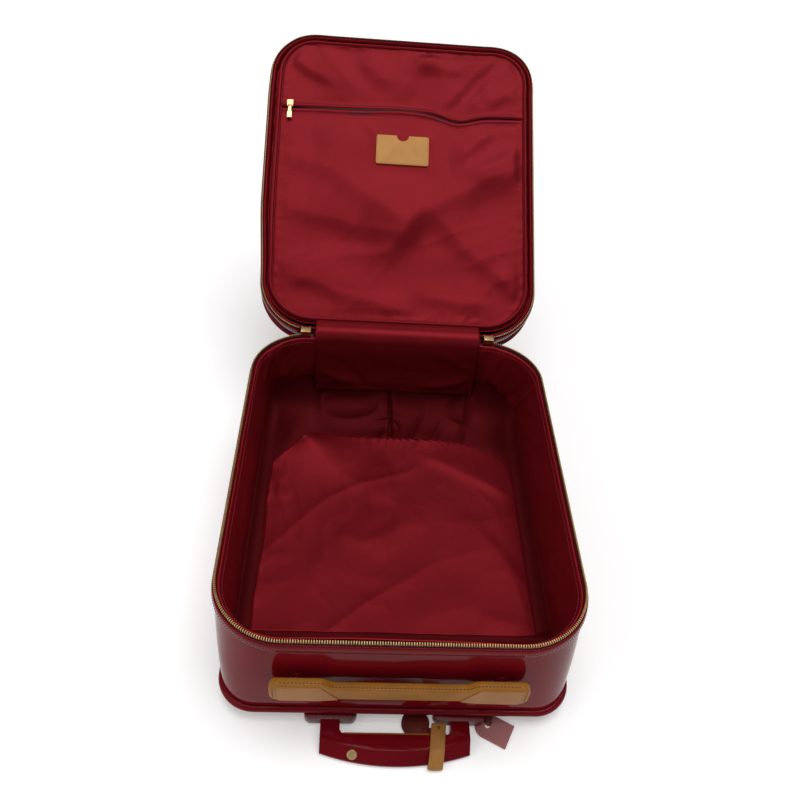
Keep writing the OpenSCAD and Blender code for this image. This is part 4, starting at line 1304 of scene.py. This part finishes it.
def keep(node, material, bevel, segments=3):
    """Keeps a CAD node and gives it a finish and softened edges."""
    obj = frame["nodes"][node]
    obj.data.materials.clear()
    obj.data.materials.append(material)
    if bevel:
        round_edges(obj, bevel * MM, segments)
    obj.data.shade_smooth()
    obj.data.set_sharp_from_angle(angle=math.radians(32))
    return obj


# Fittings keep their CAD shape. Rows: node, material, width of softened edges in mm, slot.
PAIRED_FITTINGS = [
    ("rail", "plastic", 1.0, "red_plastic"),
    ("escutcheon", "plastic", 1.6, "red_plastic"),
    ("outer_tube", "tube", 0.2, "tube"),
    ("mid_tube", "tube", 0.2, "tube"),
    ("inner_tube", "tube", 0.2, "tube"),
    ("wheel_housing", "black_plastic", 1.2, "tyre"),
    ("axle", "steel", 0.3, "steel"),
    ("foot", "black_plastic", 1.5, "tyre"),
    ("slider", "brass", 0.7, "brass"),
    ("pull", "brass", 0.4, "brass"),
    ("tyre", "tyre", 0.5, "tyre"),
    ("hub", "black_plastic", 0.4, "hub"),
]
SINGLE_FITTINGS = [
    ("base_panel", "patent", 0.8, "patent"),
    ("rail_screws", "steel", 0.3, "steel"),
    ("tag_anchor", "brass", 0.3, "brass"),
    ("handle_posts", "grip_patent", 0.4, None),
    ("grip_studs", "brass", 0.35, "brass"),
    ("release_bar", "hide", 1.1, "natural_leather"),
    ("pocket_slider", "brass", 0.35, "brass"),
    ("pocket_pull", "brass", 0.4, "brass"),
    ("tag_tab", "hide_brown", 0.4, "tag_leather"),
    ("name_tag_strap", "hide_brown", 0.4, "tag_leather"),
]


def make_fittings(m):
    for node, material, bevel, slot in PAIRED_FITTINGS:
        for side in ("_left", "_right"):
            keep(node + side, m[material], bevel)
    for node, material, bevel, slot in SINGLE_FITTINGS:
        keep(node, m[material], bevel)
    keep("grip", m["grip_patent"], 1.8, 4)


def ring_stack(name, middle, rings, material, count=20):
    """A small turned piece standing on end: rings of (radius, height) in mm, closed on top."""
    verts, faces = [], []
    for radius, z in rings:
        for k in range(count):
            turn = 2 * math.pi * k / count
            verts.append((middle[0] + radius * MM * math.cos(turn),
                          middle[1] + radius * MM * math.sin(turn), z * MM))
    for r in range(len(rings) - 1):
        for k in range(count):
            k2 = (k + 1) % count
            faces.append((r * count + k, r * count + k2, (r + 1) * count + k2, (r + 1) * count + k))
    faces.append(tuple(range((len(rings) - 1) * count, len(rings) * count)))
    faces.append(tuple(reversed(range(count))))
    return mesh_object(name, verts, faces, material)


def make_tags(m):
    """The leather strap round the grip with its rivet, and the tags."""
    low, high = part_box("tag_strap")
    centre_x = (low.x + high.x) / 2 + 1.3 * MM
    drift, t = 0.11, 1.5 * MM
    y0, y1, z1 = low.y, low.y + 33.4 * MM, high.z
    top = z1 - t
    route = [(high.y, top), (y1 - 1 * MM, top), (y0 + 16 * MM, top), (y0 + 12.4 * MM, top - 0.1 * MM),
             (y0 + 11 * MM, z1 - 2.3 * MM), (y0 + 9.0 * MM, z1 - 4.0 * MM), (y0 + 4.1 * MM, 8.0 * MM),
             (y0 + 1.9 * MM, 5.4 * MM), (y0 + 1.4 * MM, 4.0 * MM), (y0 + 1.6 * MM, 2.7 * MM),
             (y0 + 2.6 * MM, 2.0 * MM), (y0 + 5 * MM, 1.9 * MM), (y0 + 12 * MM, 1.9 * MM),
             (y1 - 6 * MM, 1.9 * MM), (y1 - 2.8 * MM, 2.0 * MM), (y1 - 1.6 * MM, 2.7 * MM),
             (y1 - 1.3 * MM, 4.4 * MM), (y1 - 1.3 * MM, 7 * MM), (y1 - 1.3 * MM, 12 * MM)]
    strap = strip_along("leather_strap", route, (high.x - low.x) / 2 + 0.2 * MM, t, m["hide_strap"],
                        centre_x, drift)
    settle(strap, body="tags", slot="natural_leather", replaces=["tag_strap"])
    rivet_y = high.y - 4.5 * MM
    rivet = ring_stack("strap_rivet", (centre_x + drift * (rivet_y - y0), rivet_y),
                       [(1.35, z1 / MM - 0.2), (1.35, z1 / MM + 0.55), (0.9, z1 / MM + 0.8)],
                       m["thread_brown"])
    settle(rivet, body="tags", slot="natural_leather")
    keep("round_tag", m["hide_brown"], 0.6)
    # The name tag's pale mauve colour is a painted reflection on red patent.
    keep("name_tag", m["tag_patent_painted_reflection"], 0)


# --- The whole case ---

make_camera()
make_studio()
materials = make_materials()
make_body_shell(materials)
make_wall_lining(materials)
make_floor_lining(materials)
make_flap(materials)
make_hinge(materials)
make_lid_shell(materials)
make_lid_front(materials)
make_lid_lining(materials)
make_pocket(materials)
make_carry_handle(materials)
make_fittings(materials)
make_tags(materials)
